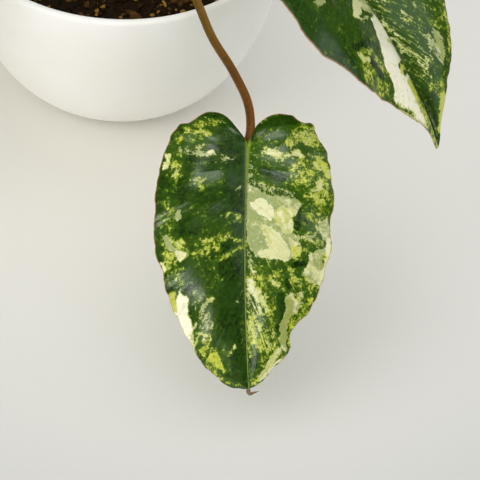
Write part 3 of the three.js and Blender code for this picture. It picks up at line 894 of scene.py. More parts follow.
RIGHT_LEFT_HALF = read_outline("""
0,0 58,-60 138,-120 241,-130 333,-90 397,0 425,120 430,250 430,310 433,345 429,372 418,392 410,412
404,443 391,470 378,500 365,530 353,560 341,593 321,620 297,645 275,669 254,696 229,717 205,740
186,767 168,794 146,819 124,842 99,866 76,892 58,920 44,948 28,978 0,1000
""")
RIGHT_RIGHT_HALF = read_outline("""
0,0 51,-60 122,-120 214,-130 296,-90 352,0 377,120 383,250 367,380 326,510 283,618 266,645 252,674
233,700 211,723 190,747 172,772 150,796 124,815 110,842 91,868 66,891 45,914 26,938 14,968 0,1000
""")
print("places on the front leaf's outline:", len(FRONT_LEFT_HALF) + len(FRONT_RIGHT_HALF))

# %% The leaves
# name, stem and the place on it as a share of the stem's length, the joint's place and the blade's
# length in millimetres, heading, droop and roll in degrees, then the numbers of the blade's form
LEAF_COLUMNS = """
    node x y z length heading droop roll
    bend fold arch ripple waves left_phase right_phase sway left_width right_width
""".split()
LEAF_TABLE = """
front      tall  0.36 62.4 -122.6 79.2  90 -82   29   0  0.4  0.3 0.34 0.014   5  0.1 0.35 -0.018    1    1
right      tall   0.6   67    -58  135 106 -33 29.7 6.4 0.37  0.5  0.3 0.012 4.5  0.2  0.6   0.05    1    1
left       tall  0.47  -74    -46  124  96 204   30  -8  0.5 0.32 0.36 0.016 4.2  0.5 0.05   0.02    1 1.04
back_right tall  0.76   62     52  168 102  40   26   7 0.55 0.34 0.36 0.015 4.8 0.15  0.7  -0.02    1 0.97
top        tall   0.9  -22    -34  214  78 242   18  -4  0.5 0.42  0.3 0.012   4 0.35  0.8  0.015 0.95 0.95
low_left   short 0.42  -98     34   92  84 172   34   5 0.45  0.3 0.36 0.016 4.4  0.6 0.25 -0.015 1.03    1
back       short 0.66    2    104  112  92  84   33  -5 0.45 0.33 0.35 0.014 4.6  0.8  0.4   0.02    1 1.03
back_left  short 0.84  -74     74  166  98 136   27   6 0.52 0.35 0.35 0.015 4.3  0.3  0.9  0.018 1.02    1
"""
FRONT_ROUTE = [
    (13, -21, 96), (26, -43, 95.2), (37, -63, 92.5), (44.6, -77.4, 87.6), (54.3, -92, 84.4),
    (61.1, -106.3, 82.3), (62.9, -117.7, 79.2),
]

LEAVES = {}
for row in LEAF_TABLE.strip().splitlines():
    name, stem, *numbers = row.split()
    leaf = dict(zip(LEAF_COLUMNS, map(float, numbers), strict=True))
    leaf |= {"stem": f"stem_{stem}", "joint": np.array([leaf["x"], leaf["y"], leaf["z"]])}
    LEAVES[name] = leaf | {"halves": (EVEN_HALF, EVEN_HALF), "grid": (150, 40), "via": None}
LEAVES["front"] |= {"halves": (FRONT_LEFT_HALF, FRONT_RIGHT_HALF), "grid": (300, 78), "via": FRONT_ROUTE}
LEAVES["right"] |= {"halves": (RIGHT_LEFT_HALF, RIGHT_RIGHT_HALF), "grid": (280, 70)}
print("leaves:", ", ".join(LEAVES))

# %% Axes and margins
VEIN_POWER = 2.4  # the veins crowd towards the stalk, as they do on the leaf
VEIN_LINEAR = 0.04
VEIN_MIDDLE = (0.55, 0.35)  # where a vein bends, as shares of its way out and of its way down
MARGIN_PLACES = 400
MARGIN_WOBBLE = 0.009  # share of its distance from the stalk by which a margin strays from its outline
WOBBLES = ((22, 1), (9, 1), (4, 0.6))  # their spacing, in places on the margin, and their weight


def leaf_axes(leaf):
    """The leaf's own directions: across to its left, along its midrib, and up from its face."""
    heading, droop = math.radians(leaf["heading"]), math.radians(leaf["droop"])
    level = Vector((math.cos(heading), math.sin(heading), 0))
    along = level * math.cos(droop) - Vector((0, 0, math.sin(droop)))
    up = Vector((math.cos(heading) * math.sin(droop), math.sin(heading) * math.sin(droop), math.cos(droop)))
    up.rotate(Matrix.Rotation(-math.radians(leaf["roll"]), 3, along))
    return np.array(along.cross(up)), np.array(along), np.array(up)


def margin_line(half, length, widen):
    """The outline of one half, as many places at equal distances, in millimetres."""
    points = np.array(half) * length * np.array([widen, 1])
    padded = np.vstack([points[0], points, points[-1]])
    t = np.linspace(0, 1, 40, endpoint=False)[:, None]
    pieces = []
    for i in range(1, len(padded) - 2):
        before, here, there, after = padded[i - 1 : i + 3]
        pieces.append(smooth_piece(here, there, (there - before) / 2, (after - here) / 2, t))
    line = space_evenly(np.vstack([*pieces, points[-1:]]), MARGIN_PLACES)
    seed = max(half)[0] * 1000 + length
    wobble = np.zeros(MARGIN_PLACES)
    for spacing, weight in WOBBLES:
        spots = [Vector((i / spacing, seed, spacing)) for i in range(MARGIN_PLACES)]
        wobble += weight * np.array([noise.noise(spot) for spot in spots])
    fade = np.sin(math.pi * np.linspace(0, 1, MARGIN_PLACES)) ** 0.4
    return line * (1 + MARGIN_WOBBLE * wobble * fade)[:, None]


print("places on each margin:", MARGIN_PLACES)

# %% The formula that wraps a grid into a blade


def flatten(leaf, out, vein, right):
    """Margin, half width and place on the flattened leaf, all on the positive side."""
    margin = np.zeros((len(out), 2))
    half_width = np.zeros(len(out))
    spots = np.linspace(0, 1, MARGIN_PLACES)
    widths = (leaf["left_width"], leaf["right_width"])
    for half, widen, chosen in zip(leaf["halves"], widths, (~right, right)):
        line = margin_line(half, leaf["length"], widen)
        margin[chosen] = np.stack([np.interp(vein[chosen], spots, line[:, k]) for k in (0, 1)], axis=1)
        half_width[chosen] = max(half)[0] * leaf["length"] * widen
    origin = leaf["length"] * (VEIN_LINEAR * vein + (1 - VEIN_LINEAR) * vein**VEIN_POWER)
    middle = origin + VEIN_MIDDLE[1] * (margin[:, 1] - origin)
    across = 2 * out * (1 - out) * VEIN_MIDDLE[0] * margin[:, 0] + out**2 * margin[:, 0]
    down = (1 - out) ** 2 * origin + 2 * out * (1 - out) * middle + out**2 * margin[:, 1]
    return margin, half_width, across, down


def wrap_blade(leaf, u, vein):
    """Places of the blade's middle surface for grid places u (-1 to 1) and vein (0 to 1).

    Also gives each place on the flattened leaf: across (negative on the left half) and down."""
    length = leaf["length"]
    right = u >= 0
    out = np.abs(u)
    margin, half_width, across, down = flatten(leaf, out, vein, right)
    across = np.where(right, across, -across)
    fade = np.sqrt(np.clip(np.sin(math.pi * vein), 0, 1))
    phase = np.where(right, leaf["right_phase"], leaf["left_phase"])
    wave = np.sin(FULL_TURN * (leaf["waves"] * vein + phase))
    rise = fade * half_width * (leaf["fold"] * out - leaf["arch"] * out**2)
    rise = rise + fade**2 * leaf["ripple"] * length * out**2.5 * wave
    x = across + leaf["sway"] * length * np.sin(math.pi * np.clip(down / length, 0, 1))
    curl = leaf["bend"] / length
    point = np.stack([-x, np.sin(curl * down) / curl, -(1 - np.cos(curl * down)) / curl], axis=1)
    normal = np.stack([np.zeros(len(u)), np.sin(curl * down), np.cos(curl * down)], axis=1)
    point = point + normal * rise[:, None]
    world = leaf["joint"] + point @ np.stack(leaf_axes(leaf))
    return world, np.stack([across, down], axis=1), margin


print("the front leaf's face looks", leaf_axes(LEAVES["front"])[2].round(2))

# %% [markdown]
# ## Markings
#
# A marbled leaf has two layers of cells that can each lack green. Where only the lower layer is
# green, the leaf looks sage. Where only the upper one is, it looks lime, and where neither is, cream.
# So the markings are painted as two numbers, how pale the upper and the deep layer are. Between 0
# and 1 they mean a share of pale flecks. A third number says how yellow the pale tissue is, and a
# fourth whether the flecks are drawn out into streaks along the veins.
#
# The paint is put on with a brush, in millimetres on the flattened leaf. A stroke is a line with a
# half width, and a patch is a closed outline. Each paint has an edge of its own width, crisp for solid
# tissue and wide for flecks, and the finish later breaks these edges up.

# %% Paints and brushes
PAINTS = {
    # name: (upper layer pale, deep layer pale, yellow, streaks, width of the edge in mm)
    "dark": (0.0, 0.0, 0.2, 0.2, 0.9),
    "fresh green": (0.0, 0.22, 0.5, 0.5, 6.0),
    "sage": (1.0, 0.06, 0.2, 0.0, 0.9),
    "dull sage": (0.92, 0.12, 1.0, 0.4, 1.6),
    "yellow sage": (0.97, 0.42, 0.6, 0.4, 1.6),
    "sage streaks": (0.56, 0.24, 0.1, 1.0, 2.6),
    "thin streaks": (0.27, 0.27, 0.15, 1.0, 4.0),
    "ivory": (1.0, 1.0, 0.16, 0.0, 0.8),
    "cream": (1.0, 1.0, 0.5, 0.0, 0.8),
    "warm cream": (1.0, 1.0, 0.68, 0.0, 0.8),
    "butter": (1.0, 0.95, 0.92, 0.0, 1.2),
    "pale lime": (0.75, 0.95, 0.6, 0.3, 1.2),
    "lime": (0.2, 0.92, 0.85, 0.4, 1.4),
    "yellow": (0.5, 1.0, 1.0, 0.3, 1.6),
    "cream flecks": (0.56, 0.62, 0.5, 0.4, 2.4),
    "cream streaks": (0.62, 0.72, 0.5, 1.0, 2.4),
    "sage flecks": (0.46, 0.28, 0.2, 0.6, 2.6),
    "lime flecks": (0.24, 0.5, 0.7, 0.4, 2.6),
    "many lime flecks": (0.4, 0.68, 0.7, 0.5, 2.4),
    "few flecks": (0.15, 0.33, 0.6, 0.4, 2.6),
    "olive": (0.05, 0.62, 1.0, 0.3, 1.6),
}
PUSHES = ((4.5, 0.45), (1.8, 0.3), (0.8, 0.25))  # size of the bays in a ragged edge, in mm, and weight


def reach_of_line(places, route, half_width):
    """How far inside a stroke each place lies: positive inside, in millimetres."""
    route = np.array(route, float)
    nearest = np.full(len(places), np.inf)
    for start, end in zip(route[:-1], route[1:]):
        run = end - start
        share = np.clip(((places - start) @ run) / max(run @ run, 1e-9), 0, 1)
        nearest = np.minimum(nearest, np.linalg.norm(places - start - share[:, None] * run, axis=1))
    return half_width - nearest


def reach_of_patch(places, outline):
    """How far inside a closed outline each place lies: positive inside, in millimetres."""
    outline = np.array(outline, float)
    inside = np.zeros(len(places), bool)
    for start, end in zip(outline, np.roll(outline, -1, axis=0)):
        crosses = (start[1] > places[:, 1]) != (end[1] > places[:, 1])
        slope = (end[0] - start[0]) / ((end[1] - start[1]) or 1e-9)
        inside ^= crosses & (places[:, 0] < start[0] + slope * (places[:, 1] - start[1]))
    gap = -reach_of_line(places, np.vstack([outline, outline[:1]]), 0)
    return np.where(inside, gap, -gap)


def ragged(places, amount, seed):
    """The same places, pushed about a little, so that brushed edges come out uneven."""
    pushed = places.copy()
    for size, share in PUSHES:
        for k in (0, 1):
            offset = Vector((seed * 7.1, k * 13.7, size))
            values = [noise.noise(Vector((p[0], p[1], 0)) / size + offset) for p in places]
            pushed[:, k] += amount * share * 2 * np.array(values)
    return pushed


def brush(layers, reach, paint):
    """Lays paint over what is there, thinning out over the paint's own edge."""
    *numbers, edge = PAINTS[paint]
    cover = np.clip(reach / edge + 0.5, 0, 1)
    cover = (cover * cover * (3 - 2 * cover))[:, None]
    return layers * (1 - cover) + np.array(numbers) * cover


print("paints:", ", ".join(PAINTS))

# %% [markdown]
# The front leaf's markings are read off the photograph, patch by patch, from the stalk to the
# tip. Each one is a line of text: the paint, the half width if it is a stroke, and then its places,
# across and down, in millimetres. Places that don't fit go on in the next line.

# %% Markings of the front leaf's left half


def read_markings(text):
    """Markings as (paint, half width, places). A patch has a half width of 0."""
    markings = []
    for line in text.strip().splitlines():
        label, colon, places = line.rpartition(":")
        if colon:
            paint, _, half_width = label.partition(", ")
            markings.append((paint, float(half_width or 0), []))
        markings[-1][2].extend(read_places(places))
    return markings


FRONT_MARKINGS = read_markings("""
dark, 3.6: -4,4 -4.4,24 -6,52 -5,78
dark, 3: -3,-3 -9,-9.6 -14,-12
fresh green, 3.5: -20,24 -12,30 -6,32
fresh green, 3: -18,46 -13,50 -14,60
fresh green, 3: -14,-7 -22,-2 -27,8
lime flecks: -25,-2 -21,-7 -16,-10.5 -9,-9.5 -12,-5 -20,-1
few flecks, 3: -14,-3 -22,-1 -18,2
lime flecks, 1.3: -19,-9 -15.5,-8 -13,-7
many lime flecks, 1: -23,-4.6 -21,-4
many lime flecks, 1.2: -18,-3 -15.6,-2.2
olive, 0.7: -26,0.5 -24.6,-1
sage flecks, 0.8: -9.8,-8.6 -9.2,-7.8
sage flecks, 2.2: -24,3 -17,4
sage streaks, 0.9: -20,4.6 -12,5.4 -4,4.4
cream, 0.6: -13.8,3.9 -12.8,3.8
sage streaks, 0.4: -19,8.4 -12,8 -8,6.8
few flecks, 2: -27,2 -26,8
cream, 0.5: -29.4,4.4 -29,6.4 -29.8,9
butter, 0.5: -28.6,4.6 -28.4,6.6 -29.2,8.6
many lime flecks: -28,8.5 -26,7 -24.6,9 -24.6,12.5 -25.6,14 -27.3,11.5
sage flecks, 0.5: -26.4,11 -25.4,13
lime flecks: -21.5,13.4 -18,12.6 -14.6,15 -16,17.6 -19,17 -21,15.6
sage, 0.5: -19.2,14.2 -17.8,14.4
few flecks, 1.4: -15,13 -10,14.4
sage streaks, 0.3: -12,11 -5,12.6
sage, 0.22: -4,17.4 -2.4,15.6
lime flecks, 1.2: -29,22 -27.6,24.5
sage flecks, 0.8: -25,22 -24.2,24.6
sage: -26.2,27.6 -24.8,25 -23.6,25.4 -22.9,27.4 -24.6,28.8
lime flecks, 1.1: -27.3,25 -27.2,29 -26.8,33
few flecks, 2: -29.5,28 -29.5,36
many lime flecks: -8,26.6 -6.4,25.2 -3,25.6 -1.8,28 -4.6,28.8 -7,27.8
dark, 0.5: -5.4,27.2 -4,27.4
lime flecks: -16,34.8 -12,33 -8.5,32.6 -6.5,34 -8,37 -12,38.6 -15.6,37
many lime flecks, 0.7: -15,35 -11,34.4 -8.6,35.4 -9,37.6 -12,38 -14.6,37
cream flecks, 0.7: -8.5,33.2 -6.6,33.4
lime flecks, 1.3: -6,35 -3,35.5 -1.6,36.4
dark, 1: -8,37.6 -5.6,36.6
lime, 0.55: -9.4,42.6 -5.6,41.2 -2,38.4
lime flecks, 1.1: -10,42.4 -6,41 -1.6,38.4
lime flecks, 1.7: -18.6,42 -15,41 -14,39.6
many lime flecks: -30,37 -28.4,33.4 -25,34 -22,33.4 -20.8,37 -21,42 -24,44 -29,43
sage, 0.8: -28.4,34.6 -27.6,37.4 -25.6,39
cream: -25.8,39.6 -23.6,38.9 -21.2,39.8 -21.4,42 -23.8,43 -25.2,41.8
few flecks, 1.6: -20,36 -17,37
cream: -31,43.5 -29,44.2 -28.2,47 -29.2,48.3
many lime flecks, 1.5: -27.4,44.5 -26.6,50
sage flecks, 0.7: -27.4,47 -27,49.6
many lime flecks, 0.8: -24,43.5 -23.4,47 -23.2,51
few flecks, 1.2: -26,50 -25,54
lime flecks, 0.6: -11.5,45 -9.3,49
yellow: -29,55 -25.4,54 -24.6,58 -24.4,61.6 -27,62
ivory: -23.7,52.6 -22.8,54.8 -21.2,56 -20.6,60 -19.9,64 -19.4,68 -19,72 -18.2,77 -20,78 -24,70 -28,63
    -25.2,61.6 -24.6,56
sage flecks, 2.2: -17.6,55 -16.6,60 -15,64
sage, 0.45: -15.4,60 -13.6,57.6
butter, 0.6: -13.6,57.4 -12.4,56.8
sage flecks, 2.4: -17,66 -13,67
cream flecks, 1.5: -18,70.6 -14,71.6
lime flecks: -18.6,73 -14,72.4 -11,74 -9.4,79 -8.8,84 -12,85.4 -17,79.5
lime: -14.4,77 -11.2,76.2 -9.8,79.6 -8.8,83.4 -10.6,82.6 -13.6,79.6
lime, 0.5: -16.6,75 -15.4,77.6
pale lime, 0.4: -6.6,76.4 -5.6,75 -4.6,73.4
lime, 0.35: -7.2,77.6 -6.9,79.8
few flecks, 1.4: -8,73 -7,81
sage streaks, 0.5: -5,58.6 -3.6,57
sage streaks, 0.5: -1.6,60 -1.4,72
olive, 0.6: -13,84.5 -8,87.5 -3,88.8
""")
print("markings so far:", len(FRONT_MARKINGS))

# %% Markings of the front leaf's right half
# Near the tip, the small cream flecks at 2,84 are a painted highlight: a glint on the blade, painted as
# pale tissue.
FRONT_MARKINGS += read_markings("""
dark, 2.4: 2.4,-2.6 6,-7 11,-8.4 16,-8
olive, 0.7: 5,-8 8,-10 11.5,-10.8
few flecks, 2.6: 6,-2 14,-4
many lime flecks: 14.5,0.4 17,-3 20,-5.6 24,-6 27,1 24,2.6 20,0.6 17,1.4
many lime flecks, 0.9: 16,-0.6 19,-2.4 21.4,-4.2
cream flecks, 1.6: 6.5,4 12,5 18.5,5
butter: 5.6,3.3 8.8,3 11,4.2 12.6,5 11.6,6 8.4,5
cream, 0.35: 7,4 10.6,4.8
cream flecks, 0.5: 9.8,6 12,6.9
butter: 15.6,3.6 18,3.2 20.8,5 21,6.6 18.4,5.6 16,5.2
cream, 0.3: 16.6,4.2 19.6,5.2
pale lime, 0.5: 22.6,4.2 24.4,6
lime flecks: 15.6,9 22,6.6 27,5 30.5,10 31.5,20 27,20 22,18.5 17,14
many lime flecks, 1.2: 17,9.6 19.4,12.3 23,12
pale lime, 0.5: 25,7.6 26.4,9.6
butter: 24.8,14.2 26.4,13.6 27.6,15 27.4,17 26,17.5 24.9,16
yellow sage: 22.8,17 25.6,17.4 25.4,19.4 23.4,19.6
yellow, 0.7: 26.6,6 28.4,9 29.4,12.6
lime flecks, 1.8: 13,12.5 16,14.5
dark, 1.3: 5,10.6 9,12 13,13
few flecks, 1.4: 18,16 23,17.6
sage flecks, 2: 1.2,12.8 4,15.8 7,17.8 12,19.2 17,20
sage streaks, 0.9: 1,5 1.4,12
sage: 0.4,14 2.4,16.6 5,18 8,19.4 12,20 15.5,20 18,21.2 20,22.8 18.5,25 18,28 17,31.5 19,33 20.4,36
    19.5,39.5 17,41.6 14,43 8,42.6 4.6,41.3 2.3,38.6 0.4,36
yellow sage: 9.5,20.5 16,20 20,22.7 18,25.5 13.5,23.5 10.5,24
yellow sage: 13.6,33 17,31.5 19,33 20.4,36 19.5,39.5 17,41.6 15.5,37
yellow sage, 1.3: 2.6,29.6 6.6,30.4
yellow sage, 0.8: 1.4,17 3,19
cream: 1.6,22.4 3.6,20.7 6.8,20.4 9.6,23.6 10.4,26.8 9,28.7 6,27.4 2.8,24.8
butter: 10.4,27.4 10.8,25 13.2,23.8 16,24.4 18.3,25.6 17.8,29 16.2,32.6 14.3,33.6 12,31.2 10.4,29.6
cream, 0.5: 12.4,26 13.4,29 14.4,31.6
cream, 0.6: 15.4,25.6 16.6,27.4
cream, 0.5: 16,29.4 15.6,31
butter, 1: 6.4,31.6 8,34 9,37
warm cream: 6.8,31 9,31.2 12,33.6 14.6,37 16,40 15.6,42 14,43 10,42.4 7,42.2 5,41 6,39.6 8.4,38.6 9,36
yellow sage, 0.35: 4,27.4 10,31 16,36.5
few flecks, 0.35: 10.7,28.3 10.9,28.6
yellow: 16.2,37.5 18.6,37 20,40 19,42.4 16.6,42
few flecks: 18.2,26 20,23.4 22.2,23 23,29 21.4,34 18.6,32.8 17.2,30.4
dark, 0.9: 19.6,25 19.2,28.4 18.6,31.4
dark, 1.2: 22.6,28.6 24.6,28
lime flecks: 22,20 30,19 30.4,27 27,31 22.5,27
many lime flecks, 1: 24,20.6 27,22.4 28,25
yellow sage: 27.2,30 29.6,27.6 31.4,30 31.2,36 28.4,36.2 27.4,33
cream flecks, 1.2: 21.6,35 24,33.2 26.5,31
sage, 0.6: 22.6,34.8 24.4,34.2
few flecks, 1.6: 21,38 26,37
few flecks, 1.2: 20.6,42 22,44.6
many lime flecks, 2.2: 20.6,50.4 25,52.8
yellow sage: 22.6,40.6 26,39 29.6,38.6 29.8,42 28.4,47 26.8,51.5 24.6,51.6 22,49.4 20.2,47.4 22.4,44.5
    23.2,42
pale lime, 1.1: 22.4,46.6 25,46 26,48.6
olive, 0.6: 28.6,41 29,45
cream, 0.8: 30.6,36 30,42 28.9,47 27.6,51.6
sage streaks, 1.1: 1.1,40.5 2.3,43.5 4,46
cream flecks, 0.7: 3.4,45.6 5,47.6
many lime flecks, 0.9: 11.5,45.2 13.6,45.6
few flecks, 2.2: 7,46 19,46
dark, 0.8: 17,44.4 21.4,44
lime flecks, 2: 6,49 10,49 16,50 21,52 24.6,54
dark, 0.7: 14.8,49.6 15.6,52
lime flecks: 0.6,49 6,48 10,53 10.6,60 10.8,70 12,73 9,79 4,85 0.6,80
few flecks, 1.5: 7,63 10,72
few flecks, 1.2: 3,73 4,79
cream flecks: 0.6,48.6 3.4,49 5,53 7,58.6 9,63 6.4,62 2.5,57.4 0.7,54
cream: 1.2,49.8 2.8,50.4 3.9,53.6 5,57.4 3.6,56.6 1.8,53.4
cream streaks, 0.5: 5,57 7.6,61.8
sage streaks, 1.2: 1.6,57.4 3.6,61
cream flecks, 0.8: 9.4,50.2 12.2,53
few flecks, 1.4: 8,54 9.6,59
dark: 10.8,54.8 13.4,54.4 14.6,56.6 14.2,61 13,65 12.2,69.4 11,68 11.4,62
few flecks, 0.7: 11.4,60.6 12.4,64.4
many lime flecks, 3: 2.6,65 4.6,72
cream streaks, 0.7: 1.6,64.4 2.6,68.6
cream streaks, 0.6: 5,65.4 5.4,70
many lime flecks, 1.1: 6,71 7,76
cream streaks, 0.6: 9,68 8.8,72 8,75.6
yellow sage: 14.4,57 16,54.4 19,54.6 23,54 23.6,57 21,61 17.6,63.6 16,67 15.2,71 13.6,75.4 12.4,75
    12.2,71 13.2,66 14,62
dull sage, 1.3: 15.8,57.6 15.4,61 14.2,66 13,72
lime flecks, 1.4: 22.4,54 24.6,55.6
many lime flecks, 1: 18.6,56.4 21.6,58.6
olive: 19.4,61 22.4,57 24.6,55.4 24.4,58.6 21.6,63 18.6,67 16.8,72 16.4,68
lime flecks, 1.6: 23.4,56 20,63 17,70
olive, 0.8: 17.4,63.6 16.2,68 15.4,73
pale lime, 1: 11,76 9,79 7.6,82
butter, 0.8: 9.4,77.6 7,82.6 4.6,85.4
dark: 0.8,78.6 3.6,77.5 4,81.5 2,82.5
cream flecks, 0.5: 2,83.6 2.6,85
yellow, 0.6: 4.4,85.5 2,88
olive, 0.5: 14.4,77 13,78.6
cream, 0.5: 12.4,79 8.4,83.2 4.6,86.6
""")
print("markings of the front leaf:", len(FRONT_MARKINGS))

# %% [markdown]
# The second leaf shows its lower half: nearly plain dark green on the left, with a great cream wedge
# against the midrib, and grey-green with sage streaks on the right. What the photograph doesn't show
# of it goes on in the same manner.

# %% Markings of the right leaf
RIGHT_MARKINGS = read_markings("""
fresh green, 10: -26,30 -22,58 -26,72
sage: -33,31 -26,31.5 -27,34 -32,33.8
lime flecks, 2.5: -36,8 -30,12 -24,10
cream flecks, 2: -20,22 -12,24
few flecks: -33,66 -30.6,54 -24,54 -17,64 -19,72 -26,76
lime flecks: -30.6,54 -24,54 -21,58 -20,66 -22,72 -27,74 -31,68
dark, 1.6: -25,60 -23,67
butter, 0.8: -29.6,54.6 -28.6,57 -26,59
many lime flecks, 0.9: -29.6,61 -29.4,66
lime flecks, 1: -19.6,62 -19,67
lime flecks, 1.4: -32,63 -28,71 -23,77
dark, 1.2: -29,52.6 -20,54
yellow sage: -12,40 -4,41 0,43 0,49.6 -4,48.6 -8,46
pale lime, 0.8: -6,44 -1,47
warm cream: -18.4,44 -14,41.6 -8,39.6 -7,43.6 -10,45 -14,45.6 -17.6,46.6
yellow sage, 0.5: -16,47 -9,48.4
ivory: -8.4,50 -3,50 0,49.4 0,100 -3,98 -9.5,93 -14,87 -18,82 -22,77 -19.4,74.4 -18,70 -18.2,66 -16,62.6
    -14,58 -11,54
yellow sage, 1.1: -5,60.4 -2.4,61.4 0,61.8
lime: -11,71.2 -8,69 0,70 0,75 -6,74.4 -9,73
dark, 0.55: -10,69.4 -6,69.2 -0.4,70.8
dark, 0.65: -8.4,73 -4,73.4 -0.4,74.6
lime: -9,75.8 0,75.8 0,90 -8.6,88 -9.2,80
olive: -8.8,83 0,82 0,106 -5,106 -7.8,94
few flecks, 0.6: -27,73 -21,79 -15,86
butter, 0.4: -20,81 -14,87.6 -8,94
thin streaks: 0.4,38 12,42 17,56 10,78 0.4,84
cream streaks, 0.7: 1.4,55 2.4,62 3,68
cream streaks, 0.8: 4.8,67 5.8,74 6,82
cream streaks, 0.5: 7.4,74 9.4,77.6
cream streaks, 0.5: 9,55 8.6,60
fresh green, 5: 22,58 26,68 12,84
few flecks: 13,52 30,62 28,72 18,66 12,62
lime flecks, 1.6: 14,62 18,65 22,69
sage flecks, 1.3: 15,56 20,61
sage streaks: 10.6,70 14,66.4 19,67.4 20.6,73 17,79 13.4,83 11.4,77
dull sage, 0.9: 16.4,70 15.6,75 14.6,78
lime flecks, 2.2: 5,84 9,86 6,92
olive, 0.8: 29,64 25,71 19,79
yellow, 1.2: 9,89.6 5.4,94 2.4,100
butter, 0.6: 9.6,90.5 6,95 3,100
many lime flecks, 4: 20,20 28,26
sage flecks, 4: 8,20 14,34
""")
print("markings of the right leaf:", len(RIGHT_MARKINGS))

# %% [markdown]
# The other leaves are out of the photograph's view, so chance paints them, with the same brush and
# the same paints. A seeded generator lays sectors between two veins, from the midrib outwards, and
# then flecks them. Each leaf has its own seed and a share of pale tissue, from nearly green to
# nearly half cream.

# %% Markings by chance
SECTOR_PAINTS = ["sage", "yellow sage", "cream", "butter", "many lime flecks", "lime flecks", "dark"]
PALE_SECTORS = 4  # how many of them are pale
BAND_PAINTS = ["lime flecks", "few flecks", "sage flecks", "cream flecks", "many lime flecks"]
BAND_CHANCE = [0.34, 0.2, 0.16, 0.12, 0.18]
BANDS = 26
CHANCE_HALF = 32  # mm, for all these leaves alike
CHANCE_LENGTH = 105
LEAF_CHANCE = {
    # name: (seed, number of solid sectors, share of pale paints)
    "left": (3, 8, 0.5),
    "back_right": (8, 9, 0.62),
    "top": (15, 7, 0.55),
    "low_left": (21, 7, 0.42),
    "back": (34, 10, 0.7),
    "back_left": (55, 8, 0.5),
}


def sector_outline(rng, side, inner, outer, top, deep):
    """A patch with an uneven outline, which runs straight only where it meets the midrib."""
    outline = []
    for turn in range(0, 360, 24):
        reach = rng.uniform(0.72, 1.2)
        across = (inner + outer) / 2 + (outer - inner) / 2 * math.cos(math.radians(turn)) * reach
        down = top + deep / 2 * (1 + math.sin(math.radians(turn)) * reach)
        outline.append((side * max(across, inner), down))
    return outline


def brush_band(layers, place, rng):
    """Lays one band of flecks that runs outwards along the veins."""
    side = rng.choice([-1, 1])
    start = rng.uniform(0, 26)
    row = rng.uniform(3, 102)
    run = rng.uniform(5, 18)
    paint = rng.choice(BAND_PAINTS, p=BAND_CHANCE)
    route = [(side * start, row), (side * min(start + run, CHANCE_HALF + 1), row + rng.uniform(-2, 2))]
    return brush(layers, reach_of_line(place, route, rng.uniform(1.5, 5)), paint)


def brush_sector(layers, place, rng, pale_share):
    """Lays one solid sector, with a cream core if it is sage."""
    side = rng.choice([-1, 1])
    inner = rng.choice([0.4, rng.uniform(4, 20)])
    outer = min(inner + rng.uniform(8, 24), CHANCE_HALF + 1)
    top = rng.uniform(8, 84)
    deep = rng.uniform(5, 16)
    pale = rng.uniform() < pale_share
    paint = rng.choice(SECTOR_PAINTS[:PALE_SECTORS] if pale else SECTOR_PAINTS[PALE_SECTORS:])
    outline = sector_outline(rng, side, inner, outer, top, deep)
    layers = brush(layers, reach_of_patch(place, outline), paint)
    if paint in ("sage", "yellow sage"):
        core = [(side * (inner + outer) / 2, top + deep * 0.3), (side * (outer - 3), top + deep * 0.6)]
        layers = brush(layers, reach_of_line(place, core, deep * 0.16), "cream")
    return layers


def chance_layers(u, vein, flat, seed, sectors, pale_share):
    """Paints in the leaf's vein coordinates, so that bands and sectors follow the veins."""
    rng = np.random.default_rng(seed)
    layers = np.tile(np.array([0.1, 0.26, 0.5, 0.4]), (len(u), 1))
    warp = (ragged(flat, 1.0, seed) - flat) * 1.6
    place = np.stack([u * CHANCE_HALF + warp[:, 0], vein * CHANCE_LENGTH + warp[:, 1]], axis=1)
    for _ in range(BANDS):
        layers = brush_band(layers, place, rng)
    for _ in range(sectors):
        layers = brush_sector(layers, place, rng, pale_share)
    return layers


print("leaves painted by chance:", ", ".join(LEAF_CHANCE))

# %% Paint a leaf
PLAIN_TISSUE = [0.05, 0.14, 0.4, 0.4]  # what the markings are painted on
FRONT_RIGHT_TISSUE = [0.12, 0.33]  # the front leaf's right half has paler layers
LOOSE_EDGE = 2  # mm: paints with a wider edge are laid on more raggedly
CRISP_PUSH = 0.9
LOOSE_PUSH = 2.4


def painted_layers(name, u, vein, flat):
    """The four painted numbers of every point of a leaf."""
    if name in LEAF_CHANCE:
        return chance_layers(u, vein, flat, *LEAF_CHANCE[name])
    layers = np.tile(np.array(PLAIN_TISSUE), (len(u), 1))
    if name == "front":
        layers[u > 0, :2] = FRONT_RIGHT_TISSUE
    crisp_place = ragged(flat, CRISP_PUSH, len(name))
    loose_place = ragged(flat, LOOSE_PUSH, len(name) + 3)
    for paint, half_width, route in FRONT_MARKINGS if name == "front" else RIGHT_MARKINGS:
        place = loose_place if PAINTS[paint][-1] > LOOSE_EDGE else crisp_place
        if half_width:
            layers = brush(layers, reach_of_line(place, route, half_width), paint)
        else:
            layers = brush(layers, reach_of_patch(place, route), paint)
    return layers


print("tissue under the markings:", PLAIN_TISSUE)

# %% [markdown]
# ## Build the blades
#
# A grid primitive is wrapped, painted and given its relief: a groove along the midrib, fine lateral
# veins that are pressed into the upper face, and the gentle swell of the tissue between them. Solidify
# then makes the second skin and the rim, and both skins are set to the leaf's thickness, which thins
# out towards the margin, with the midrib standing out of the back.

# %% Relief
LATERAL_VEINS = 8
QUILT_HEIGHT = 0.28  # mm that the tissue swells between the veins
BUCKLE_HEIGHT = 0.45  # mm that it buckles more broadly
BUCKLE_SIZE = (8, 12)  # mm across and along the leaf
COLUMN_POWER = 1.25  # columns stand closer together near the midrib
VEIN_LEAN = 3.6  # how much steeper a vein runs for each leaf length that it starts nearer the tip
VEIN_START_LEAN = 0.05


